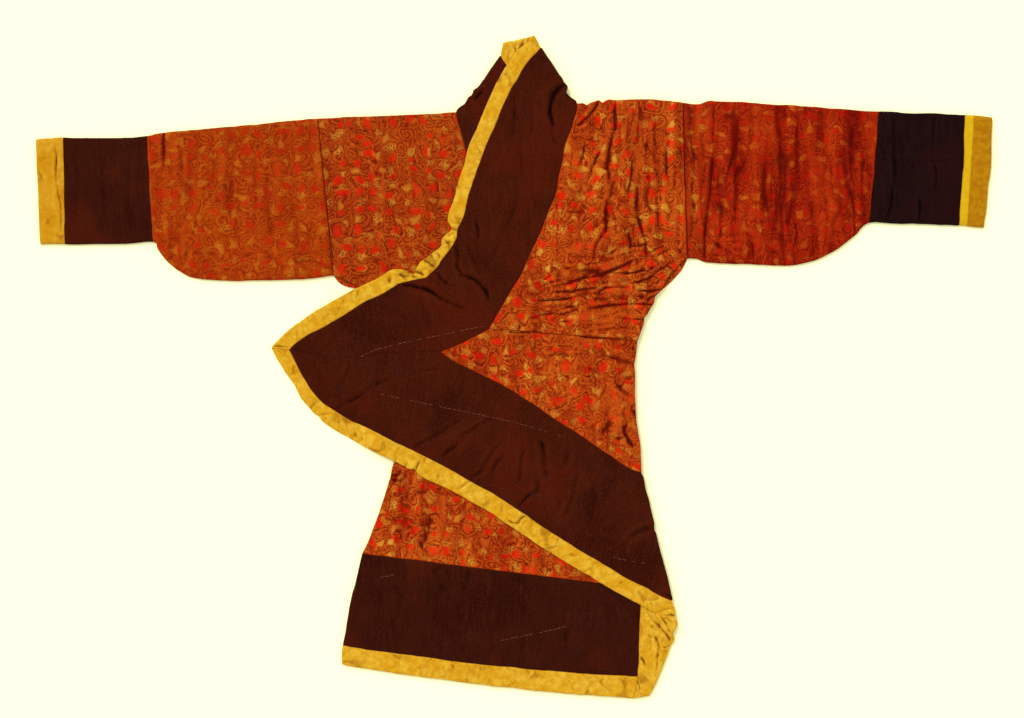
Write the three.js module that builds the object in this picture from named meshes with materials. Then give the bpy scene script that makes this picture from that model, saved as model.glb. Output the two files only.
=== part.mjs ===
// Padded silk robe, laid out flat, front up, with the arms outspread: a wrap robe of printed gauze
// with a deep brown collar, a diagonal brown wrap border and hem, brown cuffs, and narrow ochre
// edging all round.
//
// Millimetres. +X is the wearer's left, +Y runs from hem to neck, +Z is up from the surface that
// the robe lies on. The origin is on that surface, under the middle of the robe.
//
// The cloth lies in three layers: the back, then the inner front and skirt, then the outer front
// with its wrap. Every panel is a padded wall between a left and a right edge, given section by
// section; neighbours share those edge points and stop half a seam gap short of them.
import * as THREE from 'three';

// ---- Driving dimensions ----
const WALL = 6;                         // silk cloth, floss padding and plain lining
const SEAM_GAP = 0.3;                   // between neighbouring pieces
const LAYER = WALL + SEAM_GAP;          // from one layer's underside to the next one's
const ROLL = 2.5;                       // how far in from its edge a wall reaches full thickness
const UPPER_ROLL = 0.7 * WALL;          // height of a wall's edge, upper and lower rim
const LOWER_ROLL = 0.3 * WALL;
const MOST_INSET = 0.4;                 // of a narrow section's own width

const SETTLE_START = 56;                // the outer layer leaves what it lies on this far out
const SETTLE_LENGTH = 60;               // and comes down to the next layer over this length

const TUBE_HEIGHT = 2 * WALL + SEAM_GAP;
const TUBE_ROLL = [1.8, WALL];          // rounding of a sleeve's folded edges
const TUBE_SHOULDER = 0.85;             // height of the first of those two, as a share of the sleeve's
const LUMEN_ROLL = [0.5, 1];            // rounding of the slit inside it, past the wall
const LUMEN_SHOULDER = 0.7;             // height of the first of those, as a share of half the slit
const TUBE_COLUMNS = 8;                 // columns on a sleeve's front that carry its folds
const FOLD_RIDGE = 0.4;                 // the ridges beside a trough, as a share of its depth
const RIDGE_OFFSET = 1.7;               // and their distance from it, in trough widths
const FOLD_ENDS = 0.35;                 // depth left at a fold's ends, as a share of its middle's
const SHOULDER_RISE = 9;                // how far the outer front's shoulder edge bows up in its middle

// ---- Cloths ----
const cloth = (colour, roughness) => new THREE.MeshStandardMaterial({ color: colour, roughness, metalness: 0 });
const PRINTED = cloth(0xb4521c, 0.75);
const BROWN = cloth(0x35110c, 0.7);
const OCHRE = cloth(0xd9a41e, 0.65);

// A table of named columns: one object for each row.
function table(columns, rows) {
  return rows.map((row) => Object.fromEntries(columns.map((column, i) => [column, row[i]])));
}

// ---- Edges of the cut pieces, a row for each section ----

// Outer collar, from the neck down the chest, round the elbow of the wrap to the tip at the far
// right. free: outer edge of the edging. seam: edging to brown. inner: brown to the next piece.
const COLLAR = table(['freeX', 'freeY', 'seamX', 'seamY', 'innerX', 'innerY'], [
  [34, 794, 65, 780, 69, 779],
  [7, 772, 49, 762, 81, 759],
  [-17, 740, 27, 738, 98, 735],
  [-36, 708, 10, 708, 115, 706],
  [-52, 677, -9, 676, 132, 676],
  [-70, 635, -28, 635, 154, 644],
  [-89, 588, -47, 588, 142, 590],
  [-110, 546, -67, 546, 125, 546],
  [-120, 502, -83, 502, 118, 502],
  [-136, 458, -99, 458, 108, 458],
  [-147, 414, -113, 414, 98, 414],
  [-162, 370, -123, 370, 81, 370],
  [-158, 336, -137, 337, 59, 318],
  [-175, 314, -140, 316, 37, 269],
  [-180, 295, -153, 293, 15, 223],
  [-206, 274, -176, 263, -7, 186],
  [-228, 252, -186, 247, -27, 152],
  [-249, 231, -217, 218, -61, 93],
  [-284, 239, -257, 209, -122, 62],
  [-306, 234, -284, 202, -179, 37],
  [-336, 216, -321, 179, -243, 38],
  [-385, 194, -363, 160, -309, 34],
  [-441, 163, -416, 127, -377, 22],
  [-490, 135, -465, 99, -439, 24],
  [-532, 105, -510, 75, -488, 31],
  [-568, 75, -539, 53, -524, 37],
  [-594, 49, -549, 42, -545, 41],
]);
const COLLAR_SHOULDER = 5;              // row where the collar meets the shoulder
const COLLAR_CORNER = 17;               // row where it meets the waist seam
const COLLAR_POINT = 19;                // row at the outer skirt's pointed corner

// Lower wrap border, from the same tip down to the right. upper: brown to the outer skirt, and
// from row 18 on the folded side of the wrap.
const WRAP = table(['freeX', 'freeY', 'seamX', 'seamY', 'upperX', 'upperY'], [
  [-594, 49, -549, 42, -545, 41],
  [-578, 17, -539, 22, -524, 37],
  [-559, -15, -523, -11, -488, 31],
  [-540, -44, -506, -42, -439, 24],
  [-523, -74, -488, -67, -377, 22],
  [-502, -100, -465, -91, -309, 34],
  [-475, -131, -436, -110, -243, 38],
  [-431, -159, -402, -130, -179, 37],
  [-377, -189, -355, -151, -152, 17],
  [-321, -218, -299, -179, -93, -12],
  [-262, -247, -240, -206, -32, -42],
  [-208, -277, -186, -235, 15, -71],
  [-137, -311, -118, -272, 61, -100],
  [-71, -348, -49, -311, 103, -130],
  [-7, -390, 15, -352, 149, -159],
  [56, -432, 78, -396, 194, -189],
  [120, -473, 142, -436, 238, -218],
  [186, -512, 208, -475, 282, -247],
  [220, -533, 243, -496, 314, -262],
  [250, -551, 272, -514, 323, -301],
  [279, -567, 299, -528, 338, -358],
  [311, -583, 326, -541, 355, -436],
  [345, -600, 358, -559, 375, -510],
  [392, -588, 385, -571, 388, -568],
]);
const WRAP_POINT = 7;                   // row at the outer skirt's pointed corner
const WRAP_SKIRT_END = 17;              // last row along the outer skirt

// Outer front: its edge at the sleeve and side, matching the collar's rows from the shoulder on.
const FRONT_LEFT_SIDE = table(['x', 'y'], [
  [414, 647], [415, 600], [416, 554], [417, 507], [418, 458], [420, 409], [421, 363],
  [422, 314], [424, 267], [380, 223], [358, 184], [336, 147], [301, 64],
]);

// Outer skirt: its folded side, matching collar rows 17 to 19 and then the wrap's upper edge.
const SKIRT_OUTER_SIDE = table(['x', 'y'], [
  [301, 64], [298, 47], [295, 27], [295, 7], [296, -17], [296, -47], [297, -74], [298, -103],
  [299, -132], [304, -162], [309, -191], [311, -220], [312, -243],
]);
const SKIRT_OUTER_END = { left: [305, -258], right: [313, -257] };

// Inner front. side: at the sleeve and the right side. print: printed cloth to brown collar.
const FRONT_RIGHT = table(['sideX', 'sideY', 'printX', 'printY'], [
  [-481, 608, -142, 623],
  [-476, 561, -130, 573],
  [-471, 515, -115, 517],
  [-465, 458, -103, 453],
  [-459, 402, -86, 395],
  [-453, 345, -61, 341],
  [-447, 287, -34, 282],
  [-441, 223, -10, 223],
  [-402, 208, 12, 189],
  [-363, 186, 32, 157],
  [-326, 154, 54, 125],
  [-304, 110, 76, 96],
  [-294, 61, 96, 63],
]);
const ARMPIT = 7;                       // row at the underarm

// Inner collar, from the neck to the waist; its print edge below the neck is the inner front's.
const COLLAR_INNER_NECK = table(['x', 'y'], [[-35, 762], [-51, 740], [-71, 708], [-91, 679], [-118, 647]]);
const COLLAR_INNER_SEAM = table(['x', 'y'], [
  [-32, 761], [-20, 738], [-5, 708], [12, 676], [29, 640], [47, 603], [66, 563], [86, 517],
  [105, 453], [122, 394], [142, 341], [171, 282], [218, 223], [255, 189], [287, 157], [294, 125],
  [287, 96], [279, 64],
]);
// Its edging's free edge, from the top of the neck to the left side.
const INNER_EDGING_TOP = { seam: [-27, 793], free: [-6, 797] };
const INNER_FREE_EDGE = table(['x', 'y'], [
  [5, 770], [22, 740], [37, 710], [54, 679], [71, 642], [88, 605], [107, 566], [125, 519],
  [145, 456], [162, 397], [181, 343], [206, 292], [243, 239], [277, 211], [309, 181],
]);

// Skirt under the wrap, from waist to brown hem.
const SKIRT_INNER = table(['leftX', 'leftY', 'rightX', 'rightY'], [
  [-294, 61, 279, 64],
  [-284, 5, 292, 5],
  [-274, -69, 292, -69],
  [-272, -142, 294, -142],
  [-282, -199, 299, -203],
  [-299, -247, 301, -265],
  [-311, -306, 304, -333],
  [-333, -365, 306, -404],
  [-355, -424, 309, -480],
  [-370, -456, 311, -541],
]);

// Brown hem, then its ochre edging. bow: how far the middle of a row hangs below its ends.
const HEM_INNER = table(['leftX', 'leftY', 'rightX', 'rightY', 'bow'], [
  [-370, -456, 311, -541, 0],
  [-385, -512, 310, -600, 2],
  [-402, -583, 306, -669, 5],
  [-412, -640, 304, -718, 8],
  [-419, -681, 301, -757, 10],
  [-421, -706, 298, -784, 10],
  [-420, -728, 292, -810, 10],
]);
const HEM_SEAM = 4;                     // row where brown meets ochre

// Upright ochre edging of the inner skirt, beside the last skirt row and the hem's rows.
const UPRIGHT_EDGE = table(['x', 'y'], [
  [345, -473], [363, -534], [377, -590], [386, -669], [367, -723], [352, -762], [341, -787], [331, -805],
]);

// Gathered ochre corner where the wrap's edging turns under.
const CORNER = table(['leftX', 'leftY', 'rightX', 'rightY'], [
  [345, -600, 392, -588],
  [348, -612, 398, -608],
  [358, -630, 400, -628],
  [370, -648, 394, -646],
  [381, -664, 387, -662],
]);

// Back of the robe, under all the rest.
const BACK_LEFT_SIDE = table(['x', 'y'], [[414, 647], [419, 457], [424, 267], [350, 175], [315, 110], [301, 64]]);
const BACK_RIGHT_SIDE = table(['x', 'y'], [[-481, 608], [-461, 415], [-441, 223], [-363, 186], [-310, 125], [-294, 61]]);
const BACK_SEAM = table(['x', 'y'], [[2, 629], [2, 415], [2, 245], [2, 165], [2, 110], [2, 62.5]]);
const SKIRT_BACK = table(['leftX', 'leftY', 'rightX', 'rightY', 'bow'], [
  [-294, 61, 301, 64, 0],
  [-274, -69, 292, -69, 0],
  [-282, -199, 304, -208, 0],
  [-306, -277, 318, -282, 0],
  [-333, -365, 338, -370, 0],
  [-355, -424, 350, -431, 0],
  [-375, -478, 363, -488, 0],
  [-397, -571, 377, -581, 3],
  [-409, -630, 380, -640, 5],
  [-419, -684, 370, -698, 8],
  [-419, -706, 353, -742, 10],
  [-418, -725, 326, -796, 10],
]);
const BACK_HEM_TOP = 6;                 // printed cloth to brown hem
const BACK_HEM_SEAM = 9;                // brown hem to ochre edging
const COLLAR_BACK = table(['leftX', 'leftY', 'rightX', 'rightY'], [
  [-26, 791, 49, 811],
  [-33, 762, 67, 778],
  [-69, 713, 103, 720],
  [-99, 669, 130, 676],
  [-125, 623.6, 154, 635.8],
]);
const NECK_SEAM = 1;                    // row where the neck's ochre edging meets brown

// Sleeves from the body to the cuff's outer edge: upper fold and lower fold at each station.
const SLEEVE_RIGHT = table(['topX', 'topY', 'lowX', 'lowY'], [
  [-481, 608, -441, 223],
  [-549, 603, -524, 214],
  [-617, 595, -617, 211],
  [-686, 590, -691, 211],
  [-755, 583, -755, 214],
  [-799, 579, -794, 222],
  [-828, 577, -826, 239],
  [-855, 573, -853, 263],
  [-877, 570, -872, 287],
  [-898, 565, -884, 306],
  [-965, 561, -960, 301],
  [-1034, 561, -1032, 300],
  [-1102, 562, -1098, 300],
  [-1137, 560, -1129, 300],
  [-1170, 556, -1160, 299],
]);
const SLEEVE_LEFT = table(['topX', 'topY', 'lowX', 'lowY'], [
  [414, 647, 424, 267],
  [448, 644, 448, 265],
  [475, 648, 475, 255],
  [549, 649, 549, 252],
  [617, 644, 617, 249],
  [686, 640, 681, 249],
  [737, 636, 730, 258],
  [779, 633, 769, 276],
  [818, 631, 804, 298],
  [853, 628, 836, 323],
  [893, 626, 868, 352],
  [960, 622, 946, 350],
  [1031, 620, 1017, 349],
  [1104, 617, 1089, 347],
  [1137, 614, 1124, 343],
  [1170, 610, 1154, 341],
]);
const RIGHT_CUFF = { seam: 9, edging: 12, end: 14 };
const LEFT_CUFF = { seam: 10, edging: 13, end: 15 };

// ---- Folds: soft troughs with a low ridge on each side, from one end to the other ----
const FOLD_COLUMNS = ['x0', 'y0', 'x1', 'y1', 'depth', 'width'];
const FRONT_LEFT_FOLDS = table(FOLD_COLUMNS, [
  [209, 648, 161, 591, 3.5, 9],         // notch at the shoulder
  [161, 591, 149, 500, 2, 9],
  [248, 656, 244, 548, 3.5, 11],        // long folds hanging from the shoulder
  [244, 548, 196, 290, 3.5, 12],
  [202, 590, 186, 450, 2, 9],
  [306, 650, 301, 480, 3, 12],
  [301, 480, 309, 245, 2.5, 12],
  [379, 548, 381, 440, 2.5, 11],
  [345, 620, 350, 500, 1.5, 12],
  [345, 420, 350, 290, 2, 13],
  [255, 470, 262, 330, 2, 11],
  [130, 440, 115, 320, 1.8, 12],
  [186, 238, 358, 287, 2.5, 10],        // pulls from the waist to the underarm
  [120, 215, 250, 200, 2, 9],
  [110, 165, 330, 180, 2.5, 10],
  [60, 125, 320, 125, 2.5, 9],
  [220, 95, 305, 92, 2, 8],
]);
const SKIRT_OUTER_FOLDS = table(FOLD_COLUMNS, [
  [215, 26, 294, 8, 3.5, 9],
  [272, -20, 280, -118, 2, 10],
  [60, 30, 200, 20, 1.5, 12],
]);
const COLLAR_FOLDS = table(FOLD_COLUMNS, [
  [122, 688, 85, 660, 4, 8],            // knuckle beside the neck
  [85, 660, 91, 580, 2.5, 9],
  [-142, 290, -138, 238, 2.5, 8],       // elbow of the wrap
  [-138, 238, -64, 165, 3.5, 9],
  [-274, 200, -132, 146, 4, 9],
  [-94, 360, -86, 318, 2, 8],
  [10, 420, -20, 300, 1.5, 16],
  [-230, 180, -200, 100, 1.5, 14],
]);
const WRAP_FOLDS = table(FOLD_COLUMNS, [
  [-10, -166, -34, -300, 2, 16],
  [-200, -60, -180, -200, 1.8, 16],
  [112, -277, 76, -380, 2, 14],
  [-400, 5, -450, -93, 1.5, 16],
  [230, -270, 200, -440, 1.5, 18],
]);
const FRONT_RIGHT_FOLDS = table(FOLD_COLUMNS, [
  [-470, 585, -440, 240, 1, 12],
  [-256, 446, -236, 400, 1.5, 9],
  [-300, 560, -290, 330, 1, 20],
  [-400, 300, -330, 250, 1.2, 14],
]);
const SKIRT_INNER_FOLDS = table(FOLD_COLUMNS, [
  [-205, -330, -230, -455, 1, 16],
  [-83, -350, -88, -470, 1, 16],
  [60, -430, 70, -500, 1, 14],
]);
const HEM_FOLDS = table(FOLD_COLUMNS, [
  [-280, -480, -300, -690, 1, 18],
  [-120, -500, -128, -710, 0.8, 20],
  [120, -510, 118, -730, 0.8, 20],
]);
const SLEEVE_LEFT_FOLDS = table(FOLD_COLUMNS, [
  [468, 630, 463, 275, 3, 13],
  [541, 634, 537, 320, 2.5, 13],
  [583, 630, 590, 275, 3, 12],
  [681, 625, 676, 290, 3, 13],
  [735, 620, 740, 380, 1.5, 16],
  [811, 610, 786, 325, 2.5, 13],
  [848, 610, 823, 350, 2.5, 11],
  [456, 323, 603, 287, 2.5, 10],
  [627, 311, 750, 287, 2, 10],
  [640, 560, 640, 420, 1.5, 18],
]);
const SLEEVE_RIGHT_FOLDS = table(FOLD_COLUMNS, [
  [-818, 544, -813, 446, 3, 9],
  [-549, 257, -450, 243, 2, 9],
  [-696, 560, -700, 300, 1.2, 22],
  [-598, 560, -592, 260, 1.2, 22],
  [-770, 400, -800, 270, 1.5, 14],
]);
const CUFF_LEFT_FOLDS = table(FOLD_COLUMNS, [
  [921, 612, 909, 362, 2.5, 11],
  [1031, 606, 1019, 358, 2.5, 11],
  [926, 502, 1098, 507, 2, 9],
]);
const CUFF_RIGHT_FOLDS = table(FOLD_COLUMNS, [
  [-1014, 545, -1005, 315, 1.5, 14],
  [-940, 548, -932, 320, 1.5, 12],
]);

// Height that a list of folds adds at a point.
function foldHeight(folds, x, y) {
  let height = 0;
  for (const { x0, y0, x1, y1, depth, width } of folds) {
    const [dx, dy] = [x1 - x0, y1 - y0];
    const along = THREE.MathUtils.clamp(((x - x0) * dx + (y - y0) * dy) / (dx * dx + dy * dy), 0, 1);
    const off = Math.hypot(x - x0 - along * dx, y - y0 - along * dy) / width;
    const fade = 1 - (2 * along - 1) ** 4;
    const ridge = FOLD_RIDGE * Math.exp(-((off - RIDGE_OFFSET) ** 2));
    height += depth * (ridge - Math.exp(-(off * off)) * (FOLD_ENDS + (1 - FOLD_ENDS) * fade));
  }
  return height;
}
const raised = (folds) => (x, y) => foldHeight(folds, x, y);
const sunk = (folds) => (x, y) => Math.min(0, foldHeight(folds, x, y));
const plain = () => 0;

// ---- What each layer lies on ----
// How far a point lies beyond a line of points, on its left (side 1) or its right (side -1).
function beyond(line, side, x, y) {
  let nearest = { distance: Infinity, turn: 0 };
  for (let i = 0; i + 1 < line.length; i += 1) {
    const [a, b] = [line[i], line[i + 1]];
    const [dx, dy] = [b.x - a.x, b.y - a.y];
    const along = THREE.MathUtils.clamp(((x - a.x) * dx + (y - a.y) * dy) / (dx * dx + dy * dy), 0, 1);
    const distance = Math.hypot(x - a.x - along * dx, y - a.y - along * dy);
    if (distance < nearest.distance) nearest = { distance, turn: dx * (y - a.y) - dy * (x - a.x) };
  }
  return nearest.turn * side > 0 ? nearest.distance : 0;
}
const settled = (distance) => THREE.MathUtils.smoothstep(distance, SETTLE_START, SETTLE_START + SETTLE_LENGTH);

// The right side of the body and skirt: past it, the tip of the wrap comes down to the floor.
const RIGHT_SIDE = [
  ...FRONT_RIGHT.slice(ARMPIT).map((row) => ({ x: row.sideX, y: row.sideY })),
  ...SKIRT_INNER.slice(1).map((row) => ({ x: row.leftX, y: row.leftY })),
];
const onFloor = () => 0;
const onBack = () => LAYER;
// The outer layer lies on the inner front, past that front's free edge on the back, and past the
// robe's right side on the floor.
function onInner(x, y) {
  const pastInner = settled(beyond(INNER_FREE_EDGE, 1, x, y));
  const pastSide = settled(beyond(RIGHT_SIDE, -1, x, y));
  return LAYER * (2 - pastInner) * (1 - pastSide);
}

// ---- Solids ----
class Shell {
  constructor() {
    this.points = [];
    this.faces = [];
  }

  // Adds a row of points and returns their numbers.
  row(points) {
    const first = this.points.length;
    this.points.push(...points);
    return points.map((_, i) => first + i);
  }

  // Fills between two rows, which may have different numbers of points.
  join(a, b) {
    let [i, j] = [0, 0];
    while (i + 1 < a.length || j + 1 < b.length) {
      const stepA = i + 1 < a.length && (j + 1 >= b.length || (i + 1) * (b.length - 1) <= (j + 1) * (a.length - 1));
      if (stepA) this.faces.push([a[i], a[i + 1], b[j]]);
      else this.faces.push([a[i], b[j + 1], b[j]]);
      if (stepA) i += 1;
      else j += 1;
    }
  }

  joinRows(rows) {
    for (let i = 0; i + 1 < rows.length; i += 1) this.join(rows[i], rows[i + 1]);
  }

  mesh(name, material) {
    const corner = (face, k) => this.points[face[k]];
    const volume = this.faces.reduce((sum, face) => (
      sum + corner(face, 0).dot(new THREE.Vector3().crossVectors(corner(face, 1), corner(face, 2)))), 0);
    const order = volume > 0 ? [0, 1, 2] : [0, 2, 1];
    const geometry = new THREE.BufferGeometry();
    geometry.setFromPoints(this.points);
    geometry.setIndex(this.faces.flatMap((face) => order.map((k) => face[k])));
    geometry.computeVertexNormals();
    const mesh = new THREE.Mesh(geometry, material);
    mesh.name = name;
    return mesh;
  }
}

const mix = (a, b, t) => ({ x: a.x + (b.x - a.x) * t, y: a.y + (b.y - a.y) * t });
const span = (a, b) => Math.hypot(b.x - a.x, b.y - a.y);
const share = (inset, length) => Math.min(inset / length, MOST_INSET);

// Where the columns of a section lie: two at each edge, for its roll, and the rest evenly between.
function columns(count) {
  const between = Array.from({ length: count }, (_, i) => ({ part: (i + 1) / (count + 1) }));
  return [
    { edge: 0, inset: SEAM_GAP / 2, rim: true }, { edge: 0, inset: SEAM_GAP / 2 + ROLL },
    ...between,
    { edge: 1, inset: SEAM_GAP / 2 + ROLL }, { edge: 1, inset: SEAM_GAP / 2, rim: true },
  ];
}

function acrossSection({ left, right, bow = 0 }, { edge, inset, part }) {
  const width = span(left, right);
  const rolled = share(SEAM_GAP / 2 + ROLL, width);
  const fromLeft = part === undefined ? share(inset, width) : rolled + (1 - 2 * rolled) * part;
  const t = edge === 1 ? 1 - fromLeft : fromLeft;
  const point = mix(left, right, t);
  return { x: point.x, y: point.y - bow * 4 * t * (1 - t) };
}

// A padded panel: a wall from section to section, rolled in at both edges and both ends. across
// and under count the columns on top, which carry the folds, and below.
function panel(name, material, sections, { bed, fold = plain, across = 0, under = 0 }) {
  const shell = new Shell();
  const last = sections.length - 1;
  const lines = [
    { at: 0, to: 1, inset: SEAM_GAP / 2, rim: true }, { at: 0, to: 1, inset: SEAM_GAP / 2 + ROLL },
    ...sections.slice(1, last).map((_, i) => ({ at: i + 1, to: i + 1, inset: 0 })),
    { at: last, to: last - 1, inset: SEAM_GAP / 2 + ROLL }, { at: last, to: last - 1, inset: SEAM_GAP / 2, rim: true },
  ];
  const surface = (count, height) => lines.map((line) => shell.row(columns(count).map((column) => {
    const here = acrossSection(sections[line.at], column);
    const next = acrossSection(sections[line.to], column);
    const { x, y } = line.inset ? mix(here, next, share(line.inset, span(here, next))) : here;
    return new THREE.Vector3(x, y, bed(x, y) + height(x, y, line.rim || column.rim));
  })));
  const top = surface(across, (x, y, rim) => (rim ? UPPER_ROLL : WALL + fold(x, y)));
  const below = surface(under, (x, y, rim) => (rim ? LOWER_ROLL : 0));
  shell.joinRows(top);
  shell.joinRows(below.map((row) => row.toReversed()));
  shell.join(below.at(0), top.at(0));
  shell.join(top.at(-1), below.at(-1));
  shell.join(top.map((row) => row[0]), below.map((row) => row[0]));
  shell.join(below.map((row) => row.at(-1)), top.map((row) => row.at(-1)));
  return shell.mesh(name, material);
}

// A flat sleeve: one wall folded along its upper and its lower edge, open at both ends.
function tube(name, material, stations, { fold = plain, across = TUBE_COLUMNS }) {
  const shell = new Shell();
  const middle = TUBE_HEIGHT / 2;
  const lumen = SEAM_GAP / 2;
  const between = Array.from({ length: across }, (_, i) => (i + 1) / (across + 1));
  // Heights of the outer and the inner face, above or below the middle, from a folded edge inwards.
  const rim = { out: 0, outZ: 0, within: WALL, inZ: 0 };
  const shoulder = {
    out: TUBE_ROLL[0], outZ: (2 * TUBE_SHOULDER - 1) * middle, within: WALL + LUMEN_ROLL[0], inZ: LUMEN_SHOULDER * lumen,
  };
  const flat = { outZ: middle, inZ: lumen };
  const flatStart = { ...flat, out: TUBE_ROLL[1], within: WALL + LUMEN_ROLL[1] };
  // Round the wall, from the upper fold by the front to the lower fold and back underneath.
  const ring = [
    { ...rim, from: 'top', side: 1 }, { ...shoulder, from: 'top', side: 1 }, { ...flatStart, from: 'top', side: 1, front: true },
    ...between.map((t) => ({ ...flat, t, side: 1, front: true })),
    { ...flatStart, from: 'low', side: 1, front: true }, { ...shoulder, from: 'low', side: 1 }, { ...rim, from: 'low', side: 1 },
    { ...shoulder, from: 'low', side: -1 }, { ...flatStart, from: 'low', side: -1 },
    { ...flatStart, from: 'top', side: -1 }, { ...shoulder, from: 'top', side: -1 },
  ];
  const place = (station, entry, inset) => {
    const upper = { x: station.topX, y: station.topY };
    const lower = { x: station.lowX, y: station.lowY };
    const shift = inset === undefined ? 0 : share(inset, span(upper, lower));
    return mix(upper, lower, entry.t ?? (entry.from === 'top' ? shift : 1 - shift));
  };
  const last = stations.length - 1;
  const face = (insetKey, height) => stations.map((station, i) => {
    const towards = i === 0 ? stations[1] : stations[i - 1];
    const rows = ring.map((entry) => {
      const here = place(station, entry, entry[insetKey]);
      const next = place(towards, entry, entry[insetKey]);
      const { x, y } = i === 0 || i === last ? mix(here, next, share(SEAM_GAP / 2, span(here, next))) : here;
      return new THREE.Vector3(x, y, height(entry, x, y));
    });
    const numbers = shell.row(rows);
    return [...numbers, numbers[0]];
  });
  const outside = face('out', (entry, x, y) => middle + entry.side * entry.outZ + (entry.front ? fold(x, y) : 0));
  const inside = face('within', (entry) => middle + entry.side * entry.inZ);
  shell.joinRows(outside);
  shell.joinRows(inside.map((row) => row.toReversed()));
  shell.join(inside.at(0), outside.at(0));
  shell.join(outside.at(-1), inside.at(-1));
  return shell.mesh(name, material);
}

// ---- Pieces ----
const point = (x, y) => ({ x, y });
const pairs = (left, right) => left.map((edge, i) => ({ left: edge, right: right[i] }));
const sectionsOf = (rows) => rows.map((row) => ({
  left: point(row.leftX, row.leftY), right: point(row.rightX, row.rightY), bow: row.bow,
}));
const column = (rows, name) => rows.map((row) => point(row[`${name}X`], row[`${name}Y`]));

const collarInner = column(COLLAR, 'inner');
const wrapUpper = column(WRAP, 'upper');
const outerSkirtLeft = [
  ...collarInner.slice(COLLAR_CORNER, COLLAR_POINT + 1),
  ...wrapUpper.slice(WRAP_POINT + 1, WRAP_SKIRT_END + 1),
];
const outerSkirt = [
  ...pairs(outerSkirtLeft, SKIRT_OUTER_SIDE),
  { left: point(...SKIRT_OUTER_END.left), right: point(...SKIRT_OUTER_END.right) },
];
const innerPrint = [...COLLAR_INNER_NECK, ...column(FRONT_RIGHT, 'print')];
const innerEdging = pairs(
  [point(...INNER_EDGING_TOP.seam), ...COLLAR_INNER_SEAM.slice(0, INNER_FREE_EDGE.length)],
  [point(...INNER_EDGING_TOP.free), ...INNER_FREE_EDGE],
);
const outerFront = pairs(collarInner.slice(COLLAR_SHOULDER, COLLAR_CORNER + 1), FRONT_LEFT_SIDE);
outerFront[0].bow = -SHOULDER_RISE;
const uprightLeft = [...column(SKIRT_INNER, 'right').slice(-2), ...column(HEM_INNER, 'right').slice(1)];

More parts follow.
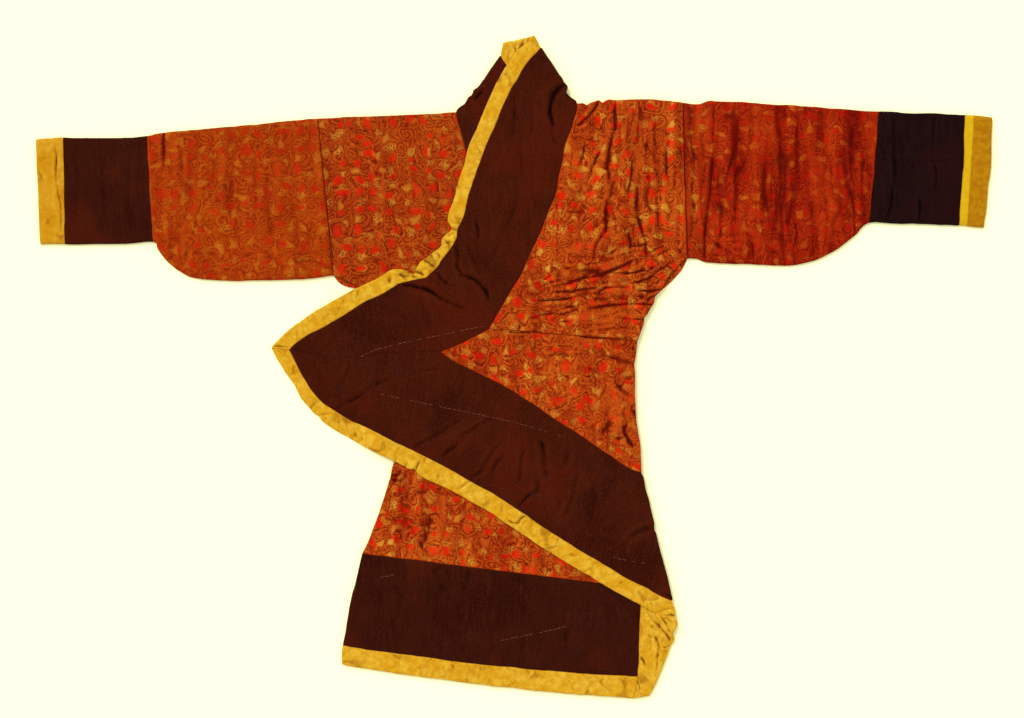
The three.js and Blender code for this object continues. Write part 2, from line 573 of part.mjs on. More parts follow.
const robe = new THREE.Group();
robe.add(
  // the back, on the floor
  panel('back_right', PRINTED, pairs(BACK_RIGHT_SIDE, BACK_SEAM), { bed: onFloor }),
  panel('back_left', PRINTED, pairs(BACK_SEAM, BACK_LEFT_SIDE), { bed: onFloor }),
  panel('skirt_back', PRINTED, sectionsOf(SKIRT_BACK.slice(0, BACK_HEM_TOP + 1)), { bed: onFloor }),
  panel('hem_border_back', BROWN, sectionsOf(SKIRT_BACK.slice(BACK_HEM_TOP, BACK_HEM_SEAM + 1)),
    { bed: onFloor, across: 6, under: 6 }),
  panel('hem_edging_back', OCHRE, sectionsOf(SKIRT_BACK.slice(BACK_HEM_SEAM)), { bed: onFloor, across: 6, under: 6 }),
  panel('collar_back', BROWN, sectionsOf(COLLAR_BACK.slice(NECK_SEAM)), { bed: onFloor }),
  panel('neck_edging_back', OCHRE, sectionsOf(COLLAR_BACK.slice(0, NECK_SEAM + 1)), { bed: onFloor, across: 3 }),

  // the inner front and skirt, on the back
  panel('front_right', PRINTED, pairs(column(FRONT_RIGHT, 'side'), column(FRONT_RIGHT, 'print')),
    { bed: onBack, fold: sunk(FRONT_RIGHT_FOLDS), across: 14 }),
  panel('collar_inner', BROWN, pairs(innerPrint, COLLAR_INNER_SEAM), { bed: onBack, across: 2 }),
  panel('collar_inner_edging', OCHRE, innerEdging, { bed: onBack }),
  panel('skirt_inner', PRINTED, sectionsOf(SKIRT_INNER), { bed: onBack, fold: sunk(SKIRT_INNER_FOLDS), across: 12 }),
  panel('hem_border_inner', BROWN, sectionsOf(HEM_INNER.slice(0, HEM_SEAM + 1)),
    { bed: onBack, fold: sunk(HEM_FOLDS), across: 12, under: 6 }),
  panel('hem_edging_inner', OCHRE, sectionsOf(HEM_INNER.slice(HEM_SEAM)), { bed: onBack, across: 6, under: 6 }),
  panel('front_edging_inner', OCHRE, pairs(uprightLeft, UPRIGHT_EDGE), { bed: onBack, across: 2 }),

  // the outer front and its wrap, on the inner front
  panel('front_left', PRINTED, outerFront, { bed: onInner, fold: raised(FRONT_LEFT_FOLDS), across: 22, under: 6 }),
  panel('collar_outer', BROWN, pairs(column(COLLAR, 'seam'), collarInner),
    { bed: onInner, fold: raised(COLLAR_FOLDS), across: 11, under: 5 }),
  panel('collar_outer_edging', OCHRE, pairs(column(COLLAR, 'free'), column(COLLAR, 'seam')), { bed: onInner, across: 2 }),
  panel('skirt_outer', PRINTED, outerSkirt, { bed: onInner, fold: raised(SKIRT_OUTER_FOLDS), across: 10, under: 1 }),
  panel('wrap_border', BROWN, pairs(column(WRAP, 'seam'), wrapUpper),
    { bed: onInner, fold: raised(WRAP_FOLDS), across: 9, under: 5 }),
  panel('wrap_edging', OCHRE, pairs(column(WRAP, 'free'), column(WRAP, 'seam')), { bed: onInner, across: 2 }),
  panel('corner_facing', OCHRE, sectionsOf(CORNER), { bed: onInner, across: 3 }),

  // the sleeves, on the floor
  tube('sleeve_right', PRINTED, SLEEVE_RIGHT.slice(0, RIGHT_CUFF.seam + 1), { fold: raised(SLEEVE_RIGHT_FOLDS), across: 9 }),
  tube('cuff_right', BROWN, SLEEVE_RIGHT.slice(RIGHT_CUFF.seam, RIGHT_CUFF.edging + 1), { fold: raised(CUFF_RIGHT_FOLDS) }),
  tube('cuff_edging_right', OCHRE, SLEEVE_RIGHT.slice(RIGHT_CUFF.edging), { across: 3 }),
  tube('sleeve_left', PRINTED, SLEEVE_LEFT.slice(0, LEFT_CUFF.seam + 1), { fold: raised(SLEEVE_LEFT_FOLDS), across: 11 }),
  tube('cuff_left', BROWN, SLEEVE_LEFT.slice(LEFT_CUFF.seam, LEFT_CUFF.edging + 1), { fold: raised(CUFF_LEFT_FOLDS) }),
  tube('cuff_edging_left', OCHRE, SLEEVE_LEFT.slice(LEFT_CUFF.edging), { across: 3 }),
);

export default robe;
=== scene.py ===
"""A padded silk robe laid out flat, front up: its cloth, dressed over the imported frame.

The tables and the shape functions are in millimetres, in the frame's own axes: +X is the wearer's
left, +Y runs from hem to neck, +Z is up from the floor. A mesh is put into metres when it is made.
Every panel is a padded wall between two lines of edge points; every sleeve is a flattened tube.
"""
import logging
import math
from dataclasses import dataclass, field
from enum import Enum
from typing import Sequence, Union

import bpy
import numpy as np
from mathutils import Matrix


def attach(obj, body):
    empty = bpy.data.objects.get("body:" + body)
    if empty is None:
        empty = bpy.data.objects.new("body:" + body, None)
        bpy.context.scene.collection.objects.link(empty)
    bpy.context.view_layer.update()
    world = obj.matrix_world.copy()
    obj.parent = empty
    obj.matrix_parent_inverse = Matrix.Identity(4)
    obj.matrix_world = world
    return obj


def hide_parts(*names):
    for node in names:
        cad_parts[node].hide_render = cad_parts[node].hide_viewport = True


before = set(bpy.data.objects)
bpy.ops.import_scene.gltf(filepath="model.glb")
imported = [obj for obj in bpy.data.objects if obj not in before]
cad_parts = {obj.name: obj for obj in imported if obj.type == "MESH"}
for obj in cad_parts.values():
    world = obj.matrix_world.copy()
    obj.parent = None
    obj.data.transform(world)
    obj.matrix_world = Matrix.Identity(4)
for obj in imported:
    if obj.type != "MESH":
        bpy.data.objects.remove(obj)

Array = np.ndarray
Object = bpy.types.Object
Node = bpy.types.Node
Socket = bpy.types.NodeSocket
Colour = tuple[float, float, float]
Rows = Sequence[Sequence[float]]

LOG = logging.getLogger("robe")
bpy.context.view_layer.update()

MM = 0.001
WALL = 6.0                      # silk, floss padding and lining together
LAYER = 6.3                     # from one layer's underside to the next one's
THINNEST = 1.4                  # of a wall, under its deepest fold
SEAM_INSET = 0.1                # a piece stops this far short of the seam line
TUBE_HEIGHT = 12.3              # two walls and the slit between them
SLIT = 0.15                     # half the slit
SETTLE = (56.0, 116.0)          # the outer layer comes down over this distance past what carries it
SUBROWS = 8                     # fine points between two rows of a table
STATIONS = np.array([0.0, 0.06, 0.2, 0.42, 0.7, 1.0])   # of the rows and columns in an edge's roll
ROLL = 9.0                      # how far in from its edge a wall is rolled
NARROW = 0.45                   # most of a narrow piece's width that one roll may take
RIM = 3.2                       # how far the worn rim of a piece, or the painted shading along a join seam, reaches in
SHOULDER_RISE = 9.0             # how far the outer front's shoulder edge bows up
CELL = 3.4                      # grid spacing of the cloth that shows
HIDDEN_CELL = 12.0              # and of the cloth under it
THINNING = 3                    # the hidden face of a wall keeps every third line of its grid
CLOTH_STEP, CLOTH_STEPS = 37.0, 29          # how far apart pieces are cut from the print
LATTICE = (83, 79)              # cells of a noise before it repeats
BROAD_WANDER, FINE_WANDER = 1.2, 0.7        # how far laid edges stray

# ---- A fold: places in fold widths, heights as shares of its depth ----
TROUGH = 0.6                    # half width of its trough
RIDGE_AT = 1.7                  # where its ridges stand
FOLD_END = 4.5                  # where it stops
RIDGE_HEIGHT, RIDGE_LEAN = 0.42, 0.2        # its ridges, and how far one is higher than the other
LEAN_TURN = 2.4                 # from one fold's lean to the next one's, in radians
TIP_DEPTH, MIDDLE_DEPTH = 0.42, 0.58        # its depth at its tips, and what its middle adds
FOLD_DRIFT, FOLD_JITTER = 4.5, 0.6          # how far its line strays, in millimetres
WIDTH_CHANGE, DEPTH_CHANGE = 0.28, 0.35     # how much its width and depth change along it
DEEPEST = 4.2                   # relief in millimetres that counts as the deepest crease, where painted fold shading is darkest

# ---- Crumpled cloth ----
SWELL, RIPPLE = 0.55, 0.3       # soft unevenness everywhere, in millimetres
CREASE_BEND = 0.9               # how far small creases bend, in crease widths
CREASE_HALF = 0.2               # half width of their valleys, as noise
CREASE_SWELL, CREASE_LIFT, CREASE_DEPTH = 0.8, 0.25, 1.25   # shares of a place's height: between and in them

# ---- How relief fades under another layer and towards an edge ----
SHOWS = (2.0, 22.0)             # from the upper layer's edge
COVERED_DEPTH, SHOWN_DEPTH = 0.25, 0.75     # of a valley under it, and what coming out adds
EDGE_RELIEF, INNER_RELIEF = 0.35, 0.65      # of it at the very edge, and what the wall's height adds
MOUTH_HEIGHT, TUBE_SWELL = 0.75, 0.25       # of a tube's half height at its mouth, and what it gains inwards


# ---- Edge points of the cut pieces ----
# Outer collar, neck to wrap tip: outer edge of the edging, edging to brown, brown to print.
COLLAR = [
    (34, 794, 65, 780, 69, 779), (7, 772, 49, 762, 81, 759), (-17, 740, 27, 738, 98, 735),
    (-36, 708, 10, 708, 115, 706), (-52, 677, -9, 676, 132, 676), (-70, 635, -28, 635, 154, 644),
    (-89, 588, -47, 588, 142, 590), (-110, 546, -67, 546, 125, 546), (-120, 502, -83, 502, 118, 502),
    (-136, 458, -99, 458, 108, 458), (-147, 414, -113, 414, 98, 414), (-162, 370, -123, 370, 81, 370),
    (-158, 336, -137, 337, 59, 318), (-175, 314, -140, 316, 37, 269), (-180, 295, -153, 293, 15, 223),
    (-206, 274, -176, 263, -7, 186), (-228, 252, -186, 247, -27, 152), (-249, 231, -217, 218, -61, 93),
    (-284, 239, -257, 209, -122, 62), (-306, 234, -284, 202, -179, 37), (-336, 216, -321, 179, -243, 38),
    (-385, 194, -363, 160, -309, 34), (-441, 163, -416, 127, -377, 22), (-490, 135, -465, 99, -439, 24),
    (-532, 105, -510, 75, -488, 31), (-568, 75, -539, 53, -524, 37), (-594, 49, -549, 42, -545, 41),
]
COLLAR_SHOULDER, COLLAR_CORNER, COLLAR_POINT = 5, 17, 19

# Lower wrap border, wrap tip to lower right: outer edge, edging to brown, brown to the outer skirt.
WRAP = [
    (-594, 49, -549, 42, -545, 41), (-578, 17, -539, 22, -524, 37), (-559, -15, -523, -11, -488, 31),
    (-540, -44, -506, -42, -439, 24), (-523, -74, -488, -67, -377, 22), (-502, -100, -465, -91, -309, 34),
    (-475, -131, -436, -110, -243, 38), (-431, -159, -402, -130, -179, 37),
    (-377, -189, -355, -151, -152, 17), (-321, -218, -299, -179, -93, -12),
    (-262, -247, -240, -206, -32, -42), (-208, -277, -186, -235, 15, -71),
    (-137, -311, -118, -272, 61, -100), (-71, -348, -49, -311, 103, -130), (-7, -390, 15, -352, 149, -159),
    (56, -432, 78, -396, 194, -189), (120, -473, 142, -436, 238, -218), (186, -512, 208, -475, 282, -247),
    (220, -533, 243, -496, 314, -262), (250, -551, 272, -514, 323, -301), (279, -567, 299, -528, 338, -358),
    (311, -583, 326, -541, 355, -436), (345, -600, 358, -559, 375, -510), (392, -588, 385, -571, 388, -568),
]
WRAP_POINT, WRAP_SKIRT_END, WRAP_TURN = 7, 17.75, 22         # rows of the table; a skirt ends between two

FRONT_LEFT_SIDE = [
    (414, 647), (415, 600), (416, 554), (417, 507), (418, 458), (420, 409), (421, 363),
    (422, 314), (424, 267), (380, 223), (358, 184), (336, 147), (301, 64),
]
UNDERARM = 8
SKIRT_OUTER_SIDE = [
    (301, 64), (298, 47), (295, 27), (295, 7), (296, -17), (296, -47), (297, -74), (298, -103),
    (299, -132), (304, -162), (309, -191), (311, -220), (312, -243), (313, -259),
]
SIDE_SKIRT_END = 12.75

# Inner front: its edge at the sleeve and the right side, then print to brown collar.
FRONT_RIGHT = [
    (-481, 608, -142, 623), (-476, 561, -130, 573), (-471, 515, -115, 517), (-465, 458, -103, 453),
    (-459, 402, -86, 395), (-453, 345, -61, 341), (-447, 287, -34, 282), (-441, 223, -10, 223),
    (-402, 208, 12, 189), (-363, 186, 32, 157), (-326, 154, 54, 125), (-304, 110, 76, 96), (-294, 61, 96, 63),
]
ARMPIT = 7
COLLAR_INNER_NECK = [(-35, 762), (-51, 740), (-71, 708), (-91, 679), (-118, 647)]
COLLAR_INNER_SEAM = [
    (-32, 761), (-20, 738), (-5, 708), (12, 676), (29, 640), (47, 603), (66, 563), (86, 517),
    (105, 453), (122, 394), (142, 341), (171, 282), (218, 223), (255, 189), (287, 157), (294, 125),
    (287, 96), (279, 64),
]
INNER_EDGING_TOP = ((-27, 793), (-6, 797))
INNER_FREE_EDGE = [
    (5, 770), (22, 740), (37, 710), (54, 679), (71, 642), (88, 605), (107, 566), (125, 519),
    (145, 456), (162, 397), (181, 343), (206, 292), (243, 239), (277, 211), (309, 181),
]

# Skirt under the wrap, left and right side.
SKIRT_INNER = [
    (-294, 61, 279, 64), (-284, 5, 292, 5), (-274, -69, 292, -69), (-272, -142, 294, -142),
    (-282, -199, 299, -203), (-299, -247, 301, -265), (-311, -306, 304, -333), (-333, -365, 306, -404),
    (-355, -424, 309, -480), (-370, -456, 311, -541),
]
SKIRT_BOTTOM = 9
# Brown hem and its edging, left and right, and how far the middle hangs below the ends.
HEM_INNER = [
    (-370, -456, 311, -541, 0), (-385, -512, 310, -600, 2), (-402, -583, 306, -669, 5),
    (-412, -640, 304, -718, 8), (-419, -681, 301, -757, 10), (-421, -706, 298, -784, 10),
    (-420, -728, 292, -810, 10),
]
HEM_SEAM, HEM_END = 4, 6
UPRIGHT_EDGE = [
    (345, -473), (363, -534), (377, -590), (386, -669), (367, -723), (352, -762), (341, -787), (331, -805),
]
CORNER = [
    (345, -600, 392, -588), (348, -612, 398, -608), (358, -630, 400, -628), (370, -648, 394, -646),
    (381, -664, 387, -662),
]
BACK_LEFT_SIDE = [(414, 647), (419, 457), (424, 267), (350, 175), (315, 110), (301, 64)]
BACK_RIGHT_SIDE = [(-481, 608), (-461, 415), (-441, 223), (-363, 186), (-310, 125), (-294, 61)]
BACK_SEAM = [(2, 629), (2, 415), (2, 245), (2, 165), (2, 110), (2, 62.5)]
SKIRT_BACK = [
    (-294, 61, 301, 64, 0), (-274, -69, 292, -69, 0), (-282, -199, 304, -208, 0), (-306, -277, 318, -282, 0),
    (-333, -365, 338, -370, 0), (-355, -424, 350, -431, 0), (-375, -478, 363, -488, 0),
    (-397, -571, 377, -581, 3), (-409, -630, 380, -640, 5), (-419, -684, 370, -698, 8),
    (-419, -706, 353, -742, 10), (-418, -725, 326, -796, 10),
]
BACK_HEM_TOP, BACK_HEM_SEAM, BACK_END = 6, 9, 11
COLLAR_BACK = [(-26, 791, 49, 811), (-33, 762, 67, 778), (-69, 713, 103, 720), (-99, 669, 130, 676),
               (-125, 623.6, 154, 635.8)]
NECK_SEAM, NECK_END = 1, 4

# Sleeves from the body to the mouth: upper fold and lower fold.
SLEEVE_RIGHT = [
    (-481, 608, -441, 223), (-549, 603, -524, 214), (-617, 595, -617, 211), (-686, 590, -691, 211),
    (-755, 583, -755, 214), (-799, 579, -794, 222), (-828, 577, -826, 239), (-855, 573, -853, 263),
    (-877, 570, -872, 287), (-898, 565, -884, 306), (-965, 561, -960, 301), (-1034, 561, -1032, 300),
    (-1102, 562, -1098, 300), (-1137, 560, -1129, 300), (-1170, 556, -1160, 299),
]
SLEEVE_LEFT = [
    (414, 647, 424, 267), (448, 644, 448, 265), (475, 648, 475, 255), (549, 649, 549, 252),
    (617, 644, 617, 249), (686, 640, 681, 249), (737, 636, 730, 258), (779, 633, 769, 276),
    (818, 631, 804, 298), (853, 628, 836, 323), (893, 626, 868, 352), (960, 622, 946, 350),
    (1031, 620, 1017, 349), (1104, 617, 1089, 347), (1137, 614, 1124, 343), (1170, 610, 1154, 341),
]

# ---- Folds laid one by one: x0, y0, x1, y1, bow (middle's shift to the left of the way), depth, width ----
TOP_FOLDS = [
    # chest
    (206, 652, 159, 587, 3, 5, 6), (159, 587, 152, 520, 3, 1.8, 7), (180, 652, 176, 628, 0, 2.6, 5),
    (217, 655, 212, 636, 0, 2.2, 4), (251, 652, 248, 580, -2, 4.8, 7), (248, 580, 228, 482, -4, 4.8, 7),
    (228, 482, 233, 446, 2, 3.6, 6), (245, 456, 232, 400, 2, 4.6, 6), (232, 400, 225, 337, -2, 5, 7),
    (225, 337, 193, 270, -6, 4.8, 7), (308, 640, 304, 580, 2, 3.4, 6), (304, 580, 296, 535, 2, 3, 6),
    (305, 475, 303, 367, -2, 4.8, 7), (303, 367, 318, 280, 5, 4.6, 7), (287, 500, 276, 420, 3, 2.4, 6),
    (169, 556, 158, 490, 2, 3.8, 6), (206, 524, 186, 462, -3, 3.8, 5), (379, 550, 380, 449, -5, 3.4, 6),
    (380, 449, 372, 350, 3, 2.6, 6), (245, 375, 249, 328, 2, 3, 5), (279, 324, 281, 272, 2, 3.2, 5),
    (120, 402, 121, 355, 0, 2.6, 5), (264, 420, 262, 340, -3, 2, 6), (345, 620, 350, 500, -3, 2, 7),
    (345, 430, 352, 300, 4, 2.2, 7), (275, 610, 282, 520, 3, 2.2, 6), (140, 500, 122, 430, 2, 1.8, 6),
    (187, 440, 168, 380, 0, 2.2, 6), (325, 560, 322, 480, 0, 2, 6), (222, 610, 206, 560, 0, 2.2, 5),
    (402, 640, 408, 470, 2, 2, 6), (406, 440, 404, 300, -2, 2.4, 6), (210, 440, 200, 380, 2, 2.4, 5),
    # from the waist to the underarm
    (255, 243, 192, 219, 3, 4.8, 4.4), (192, 219, 100, 196, -4, 3.6, 4.4),
    (255, 242, 312, 263, 3, 3.6, 3.8), (350, 269, 382, 286, 2, 3.6, 3.8), (337, 222, 284, 203, 2, 3.2, 3.8),
    (398, 292, 412, 282, 0, 3.6, 4.4), (146, 301, 190, 314, 2, 2, 3.8), (124, 284, 176, 268, -3, 2, 3.8),
    (205, 262, 330, 300, 6, 2.2, 4.4), (120, 215, 60, 205, 3, 2.4, 4.4), (230, 230, 345, 246, -5, 2.6, 4.4),
    (130, 240, 210, 252, 3, 2.2, 3.8), (296, 190, 361, 187, -4, 4.2, 4.4),
    (200, 182, 300, 192, 6, 3.4, 4.4), (80, 176, 205, 190, 5, 3.2, 4.4), (18, 196, 92, 226, -5, 3, 4.4),
    (52, 160, 160, 176, -6, 3.4, 4.4), (160, 176, 300, 160, 7, 3, 4.4), (180, 140, 344, 152, 8, 4.2, 4.4),
    (60, 138, 170, 146, 5, 2.8, 3.8), (250, 120, 322, 118, -4, 3.6, 4.4), (36, 118, 130, 128, 4, 2.8, 3.8),
    (120, 112, 240, 108, -5, 3, 3.8), (10, 100, 80, 104, 2, 2.2, 3.8), (200, 92, 305, 88, 3, 2.6, 3.8),
    (330, 132, 300, 100, 2, 2.4, 3.8), (90, 252, 150, 232, 4, 2.2, 3.8), (-41, 87, 120, 80, 2, 3, 3.2),
    (120, 80, 302, 65, -2, 3.4, 3.2),
    # outer skirt
    (217, 27, 298, 4, 4, 5, 8), (200, 46, 262, 34, -3, 2.2, 5), (249, -34, 284, -72, -4, 4.2, 8),
    (276, -88, 294, -128, 3, 4, 7), (271, -142, 268, -169, -2, 3.6, 6), (268, -169, 294, -208, 3, 4, 6),
    (60, 30, 190, 18, 5, 1.8, 7), (-100, 66, 20, 72, 2, 1.4, 6), (250, -52, 300, -44, 2, 2.6, 6),
    (255, -90, 300, -128, 3, 2.6, 6), (230, -170, 300, -196, 3, 2.2, 6), (262, -122, 282, -190, -4, 2.6, 6),
    (80, -20, 180, -52, 5, 1.4, 8), (180, 6, 210, -80, 5, 1.4, 8),
    # neck, collar and its knuckle at the shoulder
    (130, 692, 96, 590, -26, 6.4, 11), (90, 610, 108, 540, -3, 2, 6), (2, 668, -5, 552, 3, 2.2, 9),
    (118, 670, 134, 650, 0, 2.5, 5), (40, 640, 46, 560, 5, 1.8, 10), (20, 520, 34, 430, -5, 1.6, 12),
    (-94, 360, -84, 312, 3, 3.4, 6), (10, 420, -20, 300, -6, 1.8, 12), (60, 420, 30, 330, 4, 1.6, 12),
    (-30, 330, -60, 250, 4, 1.8, 9), (50, 765, 88, 742, 3, 1.6, 8), (60, 560, 52, 470, -4, 1.4, 10),
    # elbow of the wrap
    (-142, 292, -138, 245, 2, 4.4, 6), (-138, 245, -125, 225, 2, 4.8, 6), (-125, 225, -88, 202, 4, 4.8, 7),
    (-88, 202, -64, 165, 3, 3.6, 7), (-274, 202, -240, 192, 2, 5, 6), (-240, 192, -176, 165, 5, 4.8, 7),
    (-176, 165, -128, 143, 2, 3, 8), (-190, 230, -140, 190, -4, 2.8, 7), (-110, 300, -90, 250, -3, 2.2, 7),
    (-330, 150, -250, 110, 4, 1.6, 12), (-230, 180, -200, 100, -5, 2, 10), (-420, 90, -330, 60, 4, 1.4, 12),
    # edging, pinched at the elbow
    (-306, 228, -308, 200, 2, 3.6, 5), (-378, 184, -382, 166, 0, 2.6, 4), (-191, 283, -179, 265, 2, 3.4, 5),
    (-170, 338, -137, 333, 3, 4.4, 5), (-166, 322, -148, 330, 0, 3, 4), (-184, 300, -150, 306, 3, 3, 4),
    (-226, 262, -190, 240, 3, 4, 5), (-249, 234, -222, 222, 2, 4.6, 5), (-262, 236, -243, 214, 0, 3.2, 4),
    (-288, 238, -262, 208, 0, 2.8, 5), (-206, 277, -190, 262, 0, 2.8, 4), (-320, 226, -300, 196, 3, 2.2, 6),
    (-156, 352, -126, 350, 0, 2.6, 5), (-300, 224, -262, 222, 3, 2.2, 5), (-240, 246, -204, 254, 2, 2.4, 5),
    (-176, 312, -160, 296, 2, 2.4, 4), (-214, 268, -186, 258, -3, 2.2, 4),
    (-148, 328, -142, 310, 0, 2.4, 4), (20, 776, 46, 754, 2, 1.4, 6), (-60, 655, -20, 650, 0, 1, 7),
    (-105, 560, -70, 540, 0, 1, 8), (-412, 186, -388, 150, 2, 1.2, 6), (-500, 132, -478, 100, 2, 1, 6),
    (-550, 44, -596, 49, 0, 3, 3),
    # wrap border
    (-441, -104, -348, -49, -3, 2.8, 8), (-348, -49, -300, -28, 3, 2.2, 9),
    (-246, -197, -207, -174, 2, 2.8, 8), (-207, -174, -130, -124, -5, 3, 8),
    (-172, -217, -129, -174, -3, 3, 8), (-129, -174, -45, -124, 5, 3, 8),
    (-102, -276, -74, -248, -2, 3.6, 7), (-74, -248, -24, -182, 4, 3, 8), (-250, -12, -176, -4, 4, 2, 7),
    (26, -195, 16, -240, -2, 3.8, 7), (16, -240, 14, -280, 2, 3.6, 7), (65, -184, 74, -238, 3, 4, 7),
    (74, -238, 82, -270, 0, 3.4, 7), (131, -199, 124, -244, 2, 3, 7), (57, -275, 60, -301, 2, 3.2, 7),
    (60, -301, 12, -342, -5, 3, 8), (162, -262, 147, -308, -3, 2.6, 7), (147, -308, 125, -361, 2, 2.6, 7),
    (108, -316, 110, -346, 0, 2.4, 7), (-25, -218, -54, -272, -4, 2.6, 8), (233, -402, 250, -386, 2, 2, 7),
    (287, -414, 345, -393, 4, 3.4, 7), (237, -236, 253, -264, 2, 2.2, 7),
    (205, -300, 190, -380, -5, 1.8, 10), (-330, 0, -345, -70, 5, 1.6, 10), (-400, 5, -430, -50, 5, 1.8, 10),
    (-490, 10, -470, -40, 3, 1.8, 8), (330, -330, 340, -380, 2, 2, 8), (180, -420, 250, -440, 4, 1.6, 9),
    (260, -300, 290, -360, 5, 1.6, 9),
    # its edging
    (-318, -178, -315, -207, 2, 2.8, 4), (-244, -254, -229, -229, 2, 3.8, 5),
    (-133, -301, -94, -280, 2, 2.6, 4), (-410, -135, -402, -160, 0, 2, 4),
    (-390, -146, -382, -172, 0, 1.8, 4), (-480, -119, -450, -116, 0, 2.2, 5),
    (-372, -160, -366, -178, 0, 1.6, 4), (30, -362, 10, -381, -2, 4.2, 5), (10, -381, -14, -376, 2, 3.2, 4),
    (76, -444, 104, -437, 0, 2.6, 4), (104, -437, 113, -416, 2, 2.4, 4), (166, -502, 186, -491, 0, 2.4, 4),
    (366, -553, 384, -567, 2, 3.4, 4), (300, -545, 330, -590, 2, 1.2, 7),
    (330, -560, 350, -598, -2, 1.2, 6), (-520, -60, -496, -76, 0, 1.4, 5),
    (-290, -190, -282, -214, 0, 1.8, 4),
    # gathered corner
    (341, -606, 361, -630, 0, 2.4, 3.5), (361, -609, 377, -633, 0, 3.6, 3.5),
    (370, -610, 390, -624, 0, 3.2, 3), (377, -637, 382, -649, 0, 4, 3), (366, -604, 396, -606, 0, 2.4, 3),
    (384, -604, 400, -612, 0, 2.2, 3),
    # left sleeve
    (485, 640, 488, 532, 2, 4.4, 5.5), (488, 532, 480, 434, -2, 4.6, 5.5), (480, 434, 470, 257, -4, 4.4, 6),
    (466, 640, 463, 483, -2, 3.4, 4.5), (463, 483, 463, 385, 0, 3.2, 4.5), (463, 385, 468, 306, 2, 3, 4.5),
    (535, 650, 538, 440, 3, 2.6, 38), (671, 600, 668, 262, -6, 2.4, 36), (678, 480, 672, 330, 5, 1.8, 7),
    (821, 640, 825, 345, 6, 2.7, 36), (832, 600, 822, 480, -4, 1.8, 7), (610, 600, 606, 330, 4, 1.4, 22),
    (764, 404, 757, 287, 3, 3.4, 5), (548, 440, 536, 290, -4, 2.2, 8), (696, 353, 681, 282, 3, 2.6, 6),
    (581, 320, 585, 262, 2, 2.6, 6), (799, 383, 770, 330, -4, 2.6, 7), (508, 400, 500, 280, 3, 2.6, 7),
    (583, 620, 580, 500, -3, 1.6, 9), (650, 610, 645, 500, 3, 1.6, 9), (735, 620, 742, 480, 5, 1.8, 14),
    (770, 600, 764, 460, -4, 1.8, 9), (856, 600, 846, 420, 4, 2, 8), (640, 400, 650, 290, -4, 2, 8),
    (730, 440, 728, 350, 3, 2, 12), (456, 330, 530, 268, 3, 2.6, 6), (430, 630, 436, 300, 5, 2.6, 6),
    (610, 300, 650, 262, 2, 2.4, 6), (790, 330, 800, 300, 2, 2, 6),
    # left cuff
    (926, 620, 930, 451, 2, 3.6, 5), (930, 451, 907, 354, 3, 3.8, 5), (1031, 617, 1028, 520, -2, 3.6, 5),
    (1028, 520, 1032, 432, -2, 3, 5), (927, 504, 1101, 502, 2, 2, 4), (995, 410, 990, 352, 2, 3.6, 5),
    (963, 506, 975, 488, 0, 2.6, 5), (948, 560, 952, 500, 2, 1.8, 6), (1060, 600, 1064, 560, 0, 1.8, 6),
]
UNDER_FOLDS = [
    (-470, 585, -440, 240, 5, 1.8, 10), (-256, 446, -236, 400, 3, 2.6, 7),
    (-300, 560, -290, 330, -8, 1.6, 12), (-400, 300, -330, 250, 5, 2, 10), (-330, 225, -250, 262, 4, 2, 7),
    (-180, 330, -230, 300, 2, 2.4, 6), (-390, 225, -300, 235, -3, 1.6, 7),
    (-195, 480, -190, 380, 4, 1.4, 9), (-160, 600, -150, 560, 0, 1.8, 6),
    # inner collar at the neck
    (-96, 656, -74, 675, 3, 5, 7), (-60, 735, -40, 700, 2, 1.4, 8),
    # inner skirt and hem
    (-205, -330, -230, -455, 6, 1.8, 12), (-83, -350, -88, -470, 5, 1.6, 12),
    (60, -430, 70, -500, -5, 1.6, 10), (-290, -300, -310, -420, 4, 1.6, 8),
    (-150, -300, -165, -400, 4, 1.4, 10), (150, -480, 170, -540, 2, 1.4, 8),
    (-280, -480, -300, -690, 8, 1.6, 14), (-120, -500, -128, -710, -6, 1.3, 16),
    (120, -510, 118, -730, 6, 1.4, 16), (-200, -480, -215, -700, -5, 1, 12),
    (10, -500, 20, -720, 6, 1.1, 14), (220, -550, 235, -740, 4, 1.2, 14),
    # gathered edging at the lower right
    (331, -597, 342, -617, 2, 4.4, 5.5), (342, -617, 362, -642, 2, 4.2, 5),
    (362, -642, 380, -668, 2, 4, 4.5), (345, -658, 357, -694, 3, 4.2, 4.5),
    (357, -694, 351, -741, -2, 4, 4.5), (337, -628, 343, -656, 2, 2, 6), (311, -708, 320, -731, 2, 2.8, 4),
    (330, -640, 336, -690, 3, 1.8, 5), (368, -688, 380, -685, 0, 3.4, 3), (297, -770, 308, -792, 1, 3.6, 4),
    (372, -654, 386, -668, 0, 2.6, 3), (362, -672, 374, -700, 2, 2.2, 4),
    # right sleeve and cuff
    (-857, 592, -857, 480, 3, 2.8, 12), (-853, 580, -856, 500, -2, 2.4, 5),
    (-818, 544, -813, 446, 3, 2.4, 7), (-549, 257, -450, 243, 4, 2.6, 7),
    (-696, 560, -700, 300, 8, 1.8, 16), (-598, 560, -592, 260, -8, 1.8, 16),
    (-770, 400, -800, 270, 6, 2, 11), (-880, 540, -866, 320, 4, 1.6, 9), (-640, 300, -560, 232, 5, 1.6, 10),
    (-840, 400, -835, 300, -3, 1.6, 8), (-740, 560, -735, 440, 4, 1.4, 10),
    (-1123, 545, -1118, 440, 2, 4, 3.2), (-1118, 440, -1108, 330, 2, 3.4, 3.2),
    (-1014, 545, -1005, 315, 4, 1.2, 11), (-940, 548, -932, 320, -4, 1.8, 10),
    (-1080, 540, -1070, 330, 3, 1.4, 10),
]
# ---- Seams across a sleeve, where two widths of cloth are joined: narrow, even folds, right and left ----
WIDTH_SEAMS = [
    (-481, 607, -441, 224, 0, 1.6, 3), (462, 645, 455, 266, 2, 1.2, 3),
]
